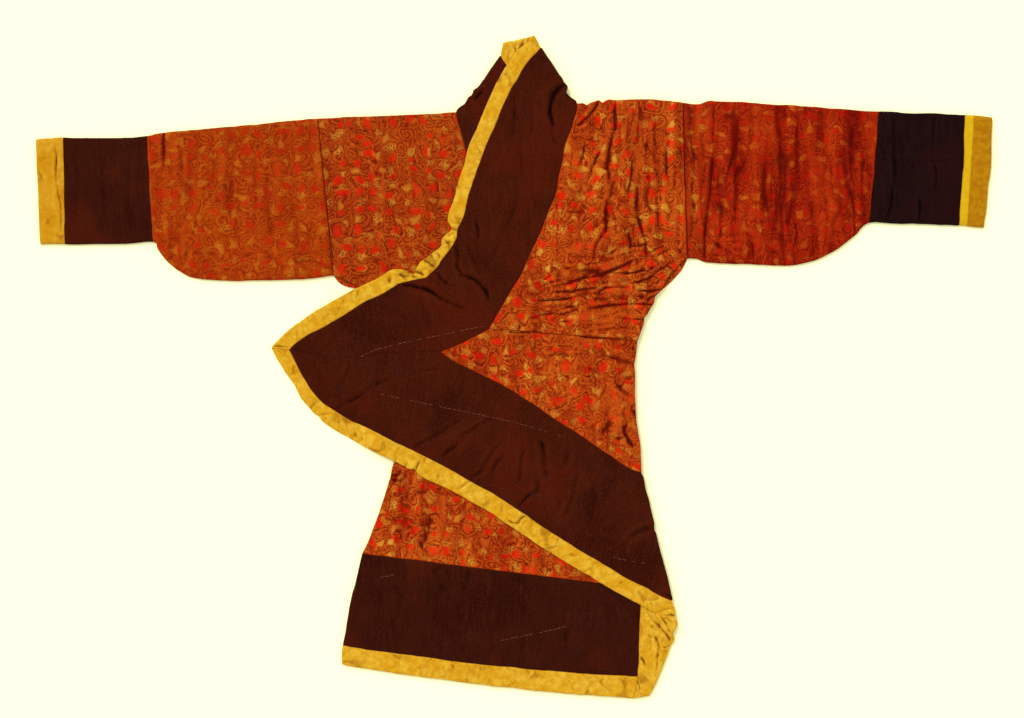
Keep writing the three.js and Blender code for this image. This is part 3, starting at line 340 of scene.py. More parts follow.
# ---- Crumpled places: x, y, reach, angle, length and width of a crease, height ----
TOP_CRUMPLES = [
    (250, 560, 130, 93, 90, 16, 2.6), (350, 420, 130, 88, 80, 16, 2.5), (180, 400, 110, 78, 70, 15, 2.4),
    (230, 240, 120, 20, 60, 13, 3.2), (180, 140, 130, 4, 60, 12, 3.2), (330, 200, 80, 25, 50, 12, 3.2),
    (540, 450, 170, 90, 110, 16, 2.8), (760, 450, 150, 94, 110, 18, 2.6), (560, 300, 110, -12, 60, 14, 2.4),
    (730, 310, 100, 70, 60, 13, 1.8), (980, 480, 150, 92, 90, 20, 1), (20, 500, 150, 80, 90, 26, 0.9),
    (-130, 200, 90, -40, 60, 16, 1.3), (-60, -60, 260, 100, 90, 28, 0.8),
    (200, -350, 200, 110, 90, 26, 0.9), (120, -20, 140, 10, 50, 14, 1.3), (260, -100, 90, 75, 50, 13, 3.6),
    (-380, 60, 140, 30, 60, 26, 0.8), (-230, 250, 60, 40, 24, 9, 1.5), (375, -620, 40, 100, 22, 7, 1.5),
    (340, -570, 40, 60, 26, 8, 1.2), (20, 770, 30, 70, 22, 9, 1.2), (-400, -150, 90, 80, 22, 9, 1.1),
    (60, -400, 90, 70, 30, 11, 1.1),
]
UNDER_CRUMPLES = [
    (-300, 420, 190, 96, 60, 17, 1.3), (-400, 260, 110, 30, 50, 14, 1.4), (-620, 400, 220, 92, 80, 22, 1.1),
    (-800, 380, 120, 88, 70, 18, 1.2), (-1010, 430, 140, 92, 80, 26, 0.8),
    (-200, -400, 170, 96, 60, 17, 2.4), (40, -460, 120, 80, 50, 16, 1.3),
    (-150, -620, 260, 94, 80, 34, 0.7), (200, -660, 160, 88, 80, 32, 0.7), (350, -650, 80, 80, 30, 9, 2),
    (-100, 700, 60, 50, 40, 16, 1), (-100, -740, 300, 85, 26, 12, 0.9), (-280, -260, 90, 60, 44, 12, 3.4),
]
# ---- Remains of tacking thread: a line of points for each ----
WRAP_TACKS = [
    [(-74, 100), (-180, 78), (-321, 47), (-380, 22)],
    [(-326, -66), (-176, -98), (-12, -132), (127, -172)],
    [(240, -465), (285, -474), (331, -480)],
]
HEM_TACKS = [
    [(-328, -515), (-292, -507)],
    [(-34, -669), (60, -650), (137, -632)],
]
# ---- Places where the laid outline is pushed: x, y, reach, and how far along x and y ----
PINCHES = np.array([
    (131, 687, 9, 5, 3), (131, 669, 8, -9, -3), (120, 706, 9, 2, 2), (179, 643, 8, 0, -8),
    (206, 655, 8, 0, 5), (217, 650, 6, 0, -4), (233, 656, 10, 0, 4), (-97, 676, 9, -5, 3),
    (-92, 664, 7, 6, -2), (-108, 655, 9, -3, 2), (-162, 340, 10, 8, 0), (-150, 352, 12, -5, 3),
    (-249, 234, 9, 4, -7), (-230, 258, 12, -4, 3), (-244, -254, 8, 3, 7), (10, -381, 9, 4, 7),
    (34, -354, 9, -4, 5), (-480, -122, 10, 3, 4), (346, -395, 8, -4, 0), (1140, 505, 45, 5, 0),
    (1150, 348, 42, -4, 0), (305, 5, 9, -6, 0), (322, 118, 9, -5, 2), (352, 172, 12, -4, 3),
    (345, 152, 8, 4, 0), (408, 262, 12, 0, 4), (312, -40, 12, 3, 0), (452, 660, 14, 0, -4),
    (481, 650, 12, 0, 3), (383, -664, 10, 4, 0), (402, -612, 9, -4, 0), (388, -652, 6, -4, 0),
    (384, -669, 6, 4, 0), (379, -688, 7, -3, 0), (144, 664, 12, -3, -5),
])


def noise(x: Array, y: Array, seed: int) -> Array:
    """Smooth unevenness: the values of a seeded lattice, mixed bilinearly with eased shares.

    Args:
        x: Across, in lattice cells.
        y: Along, in lattice cells.
        seed: Which lattice.

    Returns:
        Values from -1 to 1, shaped as x.
    """
    lattice = np.random.default_rng(seed).uniform(-1.0, 1.0, LATTICE)
    column, row = np.floor(x).astype(int), np.floor(y).astype(int)
    right, up = x - column, y - row
    right, up = right * right * (3 - 2 * right), up * up * (3 - 2 * up)

    def at(i: int, j: int) -> Array:
        """The lattice's value at a corner of each cell."""
        return lattice[(column + i) % LATTICE[0], (row + j) % LATTICE[1]]

    low = at(0, 0) * (1 - right) + at(1, 0) * right
    high = at(0, 1) * (1 - right) + at(1, 1) * right
    return low * (1 - up) + high * up


def ease(value: Array, low: float, high: float) -> Array:
    """From 0 at low to 1 at high, with a soft start and end: 3 t squared less 2 t cubed."""
    share = np.clip((value - low) / (high - low), 0.0, 1.0)
    return share * share * (3 - 2 * share)


def wander(x: Array, y: Array) -> tuple[Array, Array]:
    """Moves points so that no laid edge is ruled: by a broad and a fine noise of the place, and by each pinch
    times a bell of the distance from it.

    Args:
        x: Across the robe.
        y: Along it.

    Returns:
        Where they lie.
    """
    across = BROAD_WANDER * noise(x / 52, y / 47, 11) + FINE_WANDER * noise(x / 17, y / 19, 12)
    along = BROAD_WANDER * noise(x / 49, y / 55, 13) + FINE_WANDER * noise(x / 18, y / 16, 14)
    for px, py, reach, dx, dy in PINCHES:
        near = np.exp(-((x - px) ** 2 + (y - py) ** 2) / reach ** 2)
        across, along = across + dx * near, along + dy * near
    return x + across, y + along


@dataclass(frozen=True)
class Line:
    """A smooth line through given points, kept as fine points with SUBROWS steps from one to the next."""

    points: Array

    @classmethod
    def through(cls, rows: Rows, corners: Sequence[int] = ()) -> "Line":
        """A Catmull-Rom line: between two points, the cubic whose slope at each is half the step between the
        points on its two sides.

        Args:
            rows: The given points.
            corners: Rows where the line may turn sharply.

        Returns:
            The fine line.
        """
        points = np.asarray(rows, float)
        stops = [0, *corners, len(points) - 1]
        spans = []
        for first, last in zip(stops[:-1], stops[1:]):
            span = points[first:last + 1]
            reached = np.vstack([2 * span[0] - span[1], span, 2 * span[-1] - span[-2]])
            at = np.arange(0, (last - first) * SUBROWS + 1) / SUBROWS
            row = np.minimum(at.astype(int), last - first - 1)
            t = (at - row)[:, None]
            before, here, after, beyond = (reached[row + k] for k in range(4))
            curve = 0.5 * (2 * here + (after - before) * t
                           + (2 * before - 5 * here + 4 * after - beyond) * t ** 2
                           + (3 * here - before - 3 * after + beyond) * t ** 3)
            spans.append(curve[1:] if spans else curve)
        return cls(np.vstack(spans))

    def part(self, first: float, last: float) -> "Line":
        """The line from one row to another."""
        return Line(self.points[round(first * SUBROWS):round(last * SUBROWS) + 1])

    def then(self, other: "Line") -> "Line":
        """This line followed by another that starts where it ends."""
        return Line(np.vstack([self.points, other.points[1:]]))

    def beyond(self, side: int, x: Array, y: Array) -> Array:
        """Distance of each point on one side of the line, by its nearest stretch.

        Args:
            side: 1 for the left of the way along the line, -1 for the right.
            x: Across the robe.
            y: Along it.

        Returns:
            The distance, or 0 on the line's other side.
        """
        nearest = np.full(x.shape, np.inf)
        turn = np.zeros(x.shape)
        corners = self.points[::SUBROWS // 2]
        for (ax, ay), (bx, by) in zip(corners[:-1], corners[1:]):
            dx, dy = bx - ax, by - ay
            along = np.clip(((x - ax) * dx + (y - ay) * dy) / (dx * dx + dy * dy), 0, 1)
            away = np.hypot(x - ax - along * dx, y - ay - along * dy)
            closer = away < nearest
            nearest = np.where(closer, away, nearest)
            turn = np.where(closer, dx * (y - ay) - dy * (x - ax), turn)
        return np.where(turn * side > 0, nearest, 0.0)


def lines(rows: Rows, corners: Sequence[int] = ()) -> list[Line]:
    """One smooth line for each pair of columns in a table."""
    table = np.asarray(rows, float)
    return [Line.through(table[:, k:k + 2], corners) for k in range(0, table.shape[1] // 2 * 2, 2)]


def span(pair: Sequence[Line], first: float, last: float) -> tuple[Line, ...]:
    """Both of a pair of lines, from one row to another."""
    return tuple(line.part(first, last) for line in pair)


COLLAR_FREE, COLLAR_SEAM, COLLAR_INNER = lines(COLLAR, (COLLAR_CORNER, COLLAR_POINT))
WRAP_FREE, WRAP_SEAM, WRAP_UPPER = lines(WRAP, (WRAP_POINT, WRAP_TURN))
PRINT_SIDE, PRINT_COLLAR = lines(FRONT_RIGHT, (ARMPIT,))
SKIRT_LEFT, SKIRT_RIGHT = lines(SKIRT_INNER)
INNER_EDGE = Line.through(INNER_FREE_EDGE)
RIGHT_SIDE = PRINT_SIDE.part(ARMPIT, len(FRONT_RIGHT) - 1).then(SKIRT_LEFT)
OUTER_EDGE = COLLAR_FREE.then(WRAP_FREE.part(0, WRAP_TURN))


class Bed(Enum):
    """What a piece lies on."""

    FLOOR = "floor"
    BACK = "back"
    INNER = "inner front"

    def height(self, x: Array, y: Array) -> Array:
        """Height of a piece's underside: none on the floor, one layer on the back, two on the inner front,
        and a soft step down where the outer layer runs out past the inner front and past the robe's side.

        Args:
            x: Across the robe.
            y: Along it.

        Returns:
            The height under each.
        """
        if self is Bed.FLOOR:
            return np.zeros(x.shape)
        if self is Bed.BACK:
            return np.full(x.shape, LAYER)
        past_inner = ease(INNER_EDGE.beyond(1, x, y), *SETTLE)
        past_side = ease(RIGHT_SIDE.beyond(-1, x, y), *SETTLE)
        return LAYER * (2 - past_inner) * (1 - past_side)


@dataclass(frozen=True)
class Roll:
    """How a wall ends at one edge: it rises from rim (a share of its half height) along a quarter ellipse,
    over a reach, and below says if its underside does too. The last field says how much paler its cloth is
    there, or, where it is negative, how much painted shading darkens a join seam."""

    rim: float
    reach: float
    below: bool
    wear_and_seam_shading: float

    def share(self, distance: Array) -> Array:
        """1 inside, less towards the edge: rim + (1 - rim) * sqrt(1 - (1 - distance / reach) squared)."""
        t = np.clip(distance / self.reach, 0, 1)
        return self.rim + (1 - self.rim) * np.sqrt(1 - (1 - t) ** 2)


class Edge(Enum):
    """The ways a wall ends: folded and free, sewn to another cloth, or sewn to more of its own cloth."""

    FREE = Roll(0.12, 8.5, True, 0.4)
    SEAM = Roll(0.42, 4.2, False, 0.9)
    # A join's rim takes painted shading along the seam's groove.
    JOIN = Roll(0.5, 3.6, False, -1.0)


TUBE_FOLD = Roll(0.0, 11.0, True, 0.0)      # the upper and lower edge of a flattened tube


@dataclass(frozen=True)
class Relief:
    """The folds and crumples of one layer of cloth."""

    folds: Rows
    crumples: Rows
    seed: int
    covered_by: Union[Line, None] = None      # the outer layer's free edge, on whose left this layer shows

    def fold_height(self, x: Array, y: Array) -> Array:
        """Narrow troughs with a soft ridge on each side: along a bowed line, depth times (a bell at RIDGE_AT
        widths on each side, one higher than the other, less a bell TROUGH widths wide at the line). It fades
        towards the line's ends by the fourth power of the way from its middle.

        Args:
            x: Across the robe.
            y: Along it.

        Returns:
            Height over the plain wall.
        """
        swell = 1 + WIDTH_CHANGE * noise(x / 31, y / 29, self.seed + 2)
        strength = 1 + DEPTH_CHANGE * noise(x / 26, y / 22, self.seed + 6)
        drift_x, drift_y = noise(x / 41, y / 43, self.seed), noise(x / 45, y / 39, self.seed + 1)
        jitter_x, jitter_y = noise(x / 13, y / 14, self.seed + 7), noise(x / 14, y / 12, self.seed + 8)
        x = x + FOLD_DRIFT * drift_x + FOLD_JITTER * jitter_x
        y = y + FOLD_DRIFT * drift_y + FOLD_JITTER * jitter_y
        total = np.zeros(x.shape)
        for number, (x0, y0, x1, y1, bow, depth, width) in enumerate(self.folds):
            dx, dy = x1 - x0, y1 - y0
            length = math.hypot(dx, dy)
            raw = ((x - x0) * dx + (y - y0) * dy) / length ** 2
            along = np.clip(raw, 0, 1)
            aside = ((y - y0) * dx - (x - x0) * dy) / length - bow * 4 * along * (1 - along)
            off = np.hypot(aside, (raw - along) * length) / (width * swell)
            lean = math.sin(number * LEAN_TURN) * np.sign(aside)
            fade = TIP_DEPTH + MIDDLE_DEPTH * (1 - (2 * along - 1) ** 4)
            ridge = (RIDGE_HEIGHT + RIDGE_LEAN * lean) * np.exp(-np.square(off - RIDGE_AT))
            trough = np.exp(-np.square(off / TROUGH))
            total += np.where(off < FOLD_END, depth * fade * (ridge - trough), 0)
        return total * strength

    def crumple_height(self, x: Array, y: Array) -> Array:
        """Small creases: in each crumpled place, by a bell of the distance from it, narrow valleys along the
        zero lines of a noise stretched one way, over a soft swell.

        Args:
            x: Across the robe.
            y: Along it.

        Returns:
            Height over the plain wall.
        """
        total = SWELL * noise(x / 63, y / 71, self.seed + 3) + RIPPLE * noise(x / 24, y / 27, self.seed + 4)
        for number, (cx, cy, reach, degrees, length, width, height) in enumerate(self.crumples):
            turn = math.radians(degrees)
            along = ((x - cx) * math.cos(turn) + (y - cy) * math.sin(turn)) / length
            aside = ((y - cy) * math.cos(turn) - (x - cx) * math.sin(turn)) / width
            bent = aside + CREASE_BEND * noise(along * 1.3, aside * 0.35, self.seed + 5 + number)
            crease = noise(along, bent, self.seed + 40 + number)
            swell = noise(along * 0.8 + 7, bent * 0.6, self.seed + 80 + number)
            fall = np.exp(-((x - cx) ** 2 + (y - cy) ** 2) / reach ** 2)
            valley = np.exp(-np.square(crease / CREASE_HALF))
            total += height * fall * (CREASE_SWELL * swell + CREASE_LIFT - CREASE_DEPTH * valley)
        return total

    def height(self, x: Array, y: Array) -> Array:
        """All of it, and nothing above the wall where another layer lies on it.

        Args:
            x: Across the robe.
            y: Along it.

        Returns:
            Height over the plain wall.
        """
        total = self.fold_height(x, y) + self.crumple_height(x, y)
        if self.covered_by is not None:
            shows = ease(self.covered_by.beyond(-1, x, y), *SHOWS)
            valleys = np.minimum(total, 0) * (COVERED_DEPTH + SHOWN_DEPTH * shows)
            total = valleys + np.maximum(total, 0) * shows
        return total


TOP = Relief(TOP_FOLDS + WIDTH_SEAMS[1:], TOP_CRUMPLES, 100)
UNDER = Relief(UNDER_FOLDS + WIDTH_SEAMS[:1], UNDER_CRUMPLES, 300, OUTER_EDGE)
SIDE = Relief(UNDER_FOLDS + WIDTH_SEAMS[:1], UNDER_CRUMPLES, 300)
FLAT = Relief([], [], 500, OUTER_EDGE)


@dataclass
class Grid:
    """A worked-out surface in plan: where its points are and how far each is from the four edges."""

    x: Array
    y: Array
    edges: list[Array]        # distance from the left, right, first and last edge

    def wear_and_seam_shading(self, kinds: Sequence[Edge]) -> Array:
        """The sum over the edges of each one's paleness, negative for painted seam shading, times a bell of
        the distance.
        """
        return sum(kind.value.wear_and_seam_shading * np.exp(-np.square(near / RIM))
                   for near, kind in zip(self.edges, kinds))

    def rolled(self, kinds: Sequence[Edge], below: bool) -> Array:
        """The product of the four edges' rolls.

        Args:
            kinds: How the piece ends at its left, right, first and last edge.
            below: Whether it is the underside, which only some edges roll.

        Returns:
            The wall's height, as a share of its full height.
        """
        product = np.ones(self.x.shape)
        for distance, kind in zip(self.edges, kinds):
            if kind.value.below or not below:
                product = product * kind.value.share(distance)
        return product


def stations(length: Array, cell: float, inset: float = 0.0) -> Array:
    """Distances along a length: close together in the roll at both ends, even between them.

    Args:
        length: The lengths, one for each line.
        cell: Spacing wanted between.
        inset: How far from both ends to begin.

    Returns:
        A row of distances for each length.
    """
    clear = np.maximum(length - 2 * inset, 0)[:, None]
    reach = np.minimum(ROLL, NARROW * clear)
    between = np.linspace(0, 1, max(3, int(length.max() / cell)) + 2)[1:-1]
    middle = reach + (clear - 2 * reach) * between
    return inset + np.hstack([reach * STATIONS, middle, clear - reach * STATIONS[::-1]])


def plan(left: Line, right: Line, bow: Array, cell: float) -> Grid:
    """Lays a grid between two lines: straight across from point to point, then even along each column.

    Args:
        left: One side.
        right: The other side, with as many fine points.
        bow: How far the middle of each row hangs below its ends.
        cell: Spacing wanted.

    Returns:
        The grid.
    """
    width = np.hypot(*(right.points - left.points).T)
    across = stations(width, cell, SEAM_INSET)
    share = (across / np.maximum(width, 1e-6)[:, None])[..., None]
    place = left.points[:, None] * (1 - share) + right.points[:, None] * share
    x, y = place[..., 0], place[..., 1] - bow[:, None] * 4 * share[..., 0] * (1 - share[..., 0])
    steps = np.hypot(np.diff(x, axis=0), np.diff(y, axis=0))
    run = np.vstack([np.zeros(x.shape[1]), np.cumsum(steps, axis=0)])
    at = stations(run[-1], cell, SEAM_INSET).T

    def even(values: Array) -> Array:
        """Values at the even places of each column."""
        return np.stack([np.interp(at[:, k], run[:, k], values[:, k]) for k in range(x.shape[1])], axis=1)

    from_left = even(across)
    edges = [from_left, even(width[:, None] - across), at, run[-1] - at]
    return Grid(even(x), even(y), edges)


def thinned(count: int) -> Array:
    """The lines that a hidden face keeps of all its lines: both rolls' own, and every few between."""
    first, last = len(STATIONS), count - len(STATIONS)
    return np.concatenate([np.arange(first), np.arange(first, last, THINNING), np.arange(last, count)])


def strip(fine: Array, thin: Array, kept: Array) -> list[list[int]]:
    """Faces between a line with all its points and the next one, which has only the kept ones."""
    return [[*fine[first:last + 1].tolist(), int(thin[k + 1]), int(thin[k])]
            for k, (first, last) in enumerate(zip(kept, kept[1:]))]


def closed_shell(top: Array, below: Array, round_rows: bool) -> tuple[Array, list[list[int]], Array]:
    """Joins two surfaces of one grid into a closed skin that faces outwards. The lower one is thinned between
    its rims.

    Args:
        top: Points of the upper surface, rows by columns by 3.
        below: Points of the lower surface, the same.
        round_rows: Whether each row is a ring, so that only the first and last rows are joined.

    Returns:
        Vertices, faces, and which points of the lower surface are kept.
    """
    rows, columns = top.shape[:2]
    down, across = thinned(rows), thinned(columns)
    if round_rows:
        half = thinned(columns // 2 + 1)
        across = np.concatenate([half, columns - half[-2::-1]])
    keep = np.zeros((rows, columns), bool)
    keep[np.ix_(down, across % columns)] = keep[[0, -1]] = True
    if not round_rows:
        keep[:, [0, -1]] = True
    number = np.arange(rows * columns).reshape(rows, columns)
    under = rows * columns - 1 + np.cumsum(keep).reshape(rows, columns)
    if round_rows:
        number, under = np.hstack([number, number[:, :1]]), np.hstack([under, under[:, :1]])
    upper = np.stack([number[:-1, :-1], number[1:, :-1], number[1:, 1:], number[:-1, 1:]], axis=-1)
    sparse = under[np.ix_(down, across)]
    inner = sparse[1:-1] if round_rows else sparse[1:-1, 1:-1]
    lower = np.stack([inner[:-1, :-1], inner[:-1, 1:], inner[1:, 1:], inner[1:, :-1]], axis=-1)
    ahead, back = strip(under[0], sparse[1], across), strip(under[-1], sparse[-2], across)
    if round_rows:
        rims = [(number[0], under[0]), (number[-1][::-1], under[-1][::-1])]
    else:
        ahead += strip(under[:, -1], sparse[:, -2], down)[1:-1]
        back += strip(under[:, 0], sparse[:, 1], down)[1:-1]
        rims = [tuple(np.concatenate([line[0, :], line[1:, -1], line[-1, -2::-1], line[-2::-1, 0]])
                      for line in (number, under))]
    walls = [np.stack([rim[:-1], rim[1:], foot[1:], foot[:-1]], axis=-1) for rim, foot in rims]
    faces = np.vstack([upper.reshape(-1, 4), lower.reshape(-1, 4), *walls]).tolist()
    faces += ahead + [face[::-1] for face in back]
    facing = np.cross(top[1:, 1:] - top[:-1, :-1], top[:-1, 1:] - top[1:, :-1])
    if np.einsum("ijk,ijk->", facing, (top - below)[:-1, :-1]) < 0:
        faces = [face[::-1] for face in faces]
    return np.vstack([top.reshape(-1, 3), below[keep]]), faces, keep.ravel()


def make_mesh(name: str, points: Array, faces: list[list[int]], cloth: Array,
              **marks: Array) -> Object:
    """Puts a worked-out surface into a smooth mesh, in metres, with its cloth map and its marks.

    Args:
        name: The object's name.
        points: Vertices in millimetres.
        faces: The numbers of each face's vertices.
        cloth: Where each vertex lies on the flat cloth, in millimetres.
        marks: For each vertex, crease says how deep in a fold it is, from -1 on a ridge to 1, for painted
            shading and
        highlight, and rim how worn the cloth is at the piece's edges, up to 1, and down to -1 at a join seam,
        for painted shading.

    Returns:
        The object, linked to the scene.
    """
    mesh = bpy.data.meshes.new(name)
    mesh.from_pydata((points * MM).tolist(), [], faces)
    mesh.polygons.foreach_set("use_smooth", np.ones(len(mesh.polygons), bool))
    corner = np.empty(len(mesh.loops), np.int32)
    mesh.loops.foreach_get("vertex_index", corner)
    places = (cloth[corner] * MM).astype(np.float32).ravel()
    mesh.uv_layers.new(name="Cloth").data.foreach_set("uv", places)
    for label, values in marks.items():
        mark = mesh.attributes.new(label, "FLOAT", "POINT")
        mark.data.foreach_set("value", values.astype(np.float32))
    mesh.update()
    obj = bpy.data.objects.new(name, mesh)
    bpy.context.scene.collection.objects.link(obj)
    return obj


# ---- Shader trees ----
class Tree:
    """Short ways to put nodes into one shader tree."""

    def __init__(self, tree: bpy.types.NodeTree) -> None:
        """Works on an empty tree."""
        self.tree = tree
        tree.nodes.clear()

    def node(self, kind: str, inputs: dict, **settings: object) -> Node:
        """A node with its settings made and its inputs linked or set.

        Args:
            kind: Blender's name for the node, without "ShaderNode".
            inputs: For each socket's name or number, a value or another node's output.
            settings: The node's own properties.

        Returns:
            The node.
        """
        node = self.tree.nodes.new("ShaderNode" + kind)
        for key, value in settings.items():
            setattr(node, key, value)
        for key, value in inputs.items():
            self.put(node.inputs[key], value)
        return node

    def put(self, socket: Socket, value: object) -> None:
        """Links an output to a socket, or sets the socket's own value."""
        if isinstance(value, bpy.types.NodeSocket):
            self.tree.links.new(value, socket)
        elif isinstance(value, tuple) and len(value) == 3 and socket.type == "RGBA":
            socket.default_value = (*value, 1.0)
        else:
            socket.default_value = value

    def math(self, operation: str, a: object, b: object = 0.0, c: object = 0.0) -> Socket:
        """One sum of two or three numbers."""
        return self.node("Math", {0: a, 1: b, 2: c}, operation=operation).outputs[0]

    def times(self, a: object, b: object) -> Socket:
        """The product of two numbers."""
        return self.math("MULTIPLY", a, b)

    def vector(self, operation: str, a: object, b: object = (0.0, 0.0, 0.0)) -> Socket:
        """One sum of two vectors."""
        return self.node("VectorMath", {0: a, 1: b}, operation=operation).outputs[0]

    def scaled(self, a: object, factor: float) -> Socket:
        """A vector times a number."""
        return self.node("VectorMath", {0: a, "Scale": factor}, operation="SCALE").outputs[0]

    def mix(self, share: object, a: object, b: object, blend: str = "MIX") -> Socket:
        """Two colours mixed by a share."""
        node = self.node("Mix", {0: share, 6: a, 7: b}, data_type="RGBA", blend_type=blend)
        return node.outputs[2]

    def tinted(self, share: object, colour: object, tint: Colour) -> Socket:
        """A colour times a tint, by a share."""
        return self.mix(share, colour, tint, "MULTIPLY")

    def between(self, value: object, low: float, high: float, start: float = 0.0,
                end: float = 1.0) -> Socket:
        """A number eased from start to end, as it goes from low to high."""
        return self.node("MapRange", {0: value, 1: low, 2: high, 3: start, 4: end},
                         interpolation_type="SMOOTHSTEP").outputs[0]

    def band(self, level: object) -> Socket:
        """How far a number is from the middle of its whole step, from 0 to a half."""
        return self.math("ABSOLUTE", self.math("SUBTRACT", self.math("FRACT", level), 0.5))

    def cells(self, vector: object, spacing: float, loose: float, **settings: object) -> Node:
        """A loose lattice of points in the plane of the cloth."""
        inputs = {"Vector": vector, "Scale": 1 / spacing, "Randomness": loose}
        return self.node("TexVoronoi", inputs, voronoi_dimensions="2D", **settings)

    def noises(self, vector: object, scale: object, detail: float = 2.0, bend: float = 0.0) -> Socket:
        """Three noises in the plane of the cloth, as a colour."""
        inputs = {"Vector": vector, "Scale": scale, "Detail": detail, "Distortion": bend}
        return self.node("TexNoise", inputs, noise_dimensions="2D").outputs["Color"]

    def noise(self, *given: object) -> Socket:
        """One noise in the plane of the cloth: the first output of the same node."""
        return self.noises(*given).node.outputs[0]

    def stretched(self, vector: Socket, stretch: Colour, detail: float, bend: float = 0.0) -> Socket:
        """A noise that is finer one way of the cloth than the other."""
        return self.noise(self.vector("MULTIPLY", vector, stretch), 1.0, detail, bend)

    def moved(self, vector: Socket, x: float, y: float) -> Socket:
        """The same place further on in the cloth, so that two noises don't match."""
        return self.vector("ADD", vector, (x, y, 0.0))

    def group(self, made: bpy.types.NodeTree, inputs: dict) -> Node:
        """A group placed in this tree."""
        node = self.tree.nodes.new("ShaderNodeGroup")
        node.node_tree = made
        for key, value in inputs.items():
            self.put(node.inputs[key], value)
        return node


def new_group(name: str, inputs: dict[str, str],
              outputs: dict[str, str]) -> tuple[Tree, dict[str, Socket], Node]:
    """An empty shader group.

    Args:
        name: Its name.
        inputs: The kind of each named input.
        outputs: The kind of each named output.

    Returns:
        The tree, its inputs as outputs of the input node, and the output node.
    """
    made = bpy.data.node_groups.new(name, "ShaderNodeTree")
    kinds = {"colour": "NodeSocketColor", "number": "NodeSocketFloat", "vector": "NodeSocketVector"}
    for label, kind in inputs.items():
        made.interface.new_socket(name=label, in_out="INPUT", socket_type=kinds[kind])
    for label, kind in outputs.items():
        made.interface.new_socket(name=label, in_out="OUTPUT", socket_type=kinds[kind])
    tree = Tree(made)
    given = tree.tree.nodes.new("NodeGroupInput")
    out = tree.tree.nodes.new("NodeGroupOutput")
    return tree, {label: given.outputs[label] for label in inputs}, out


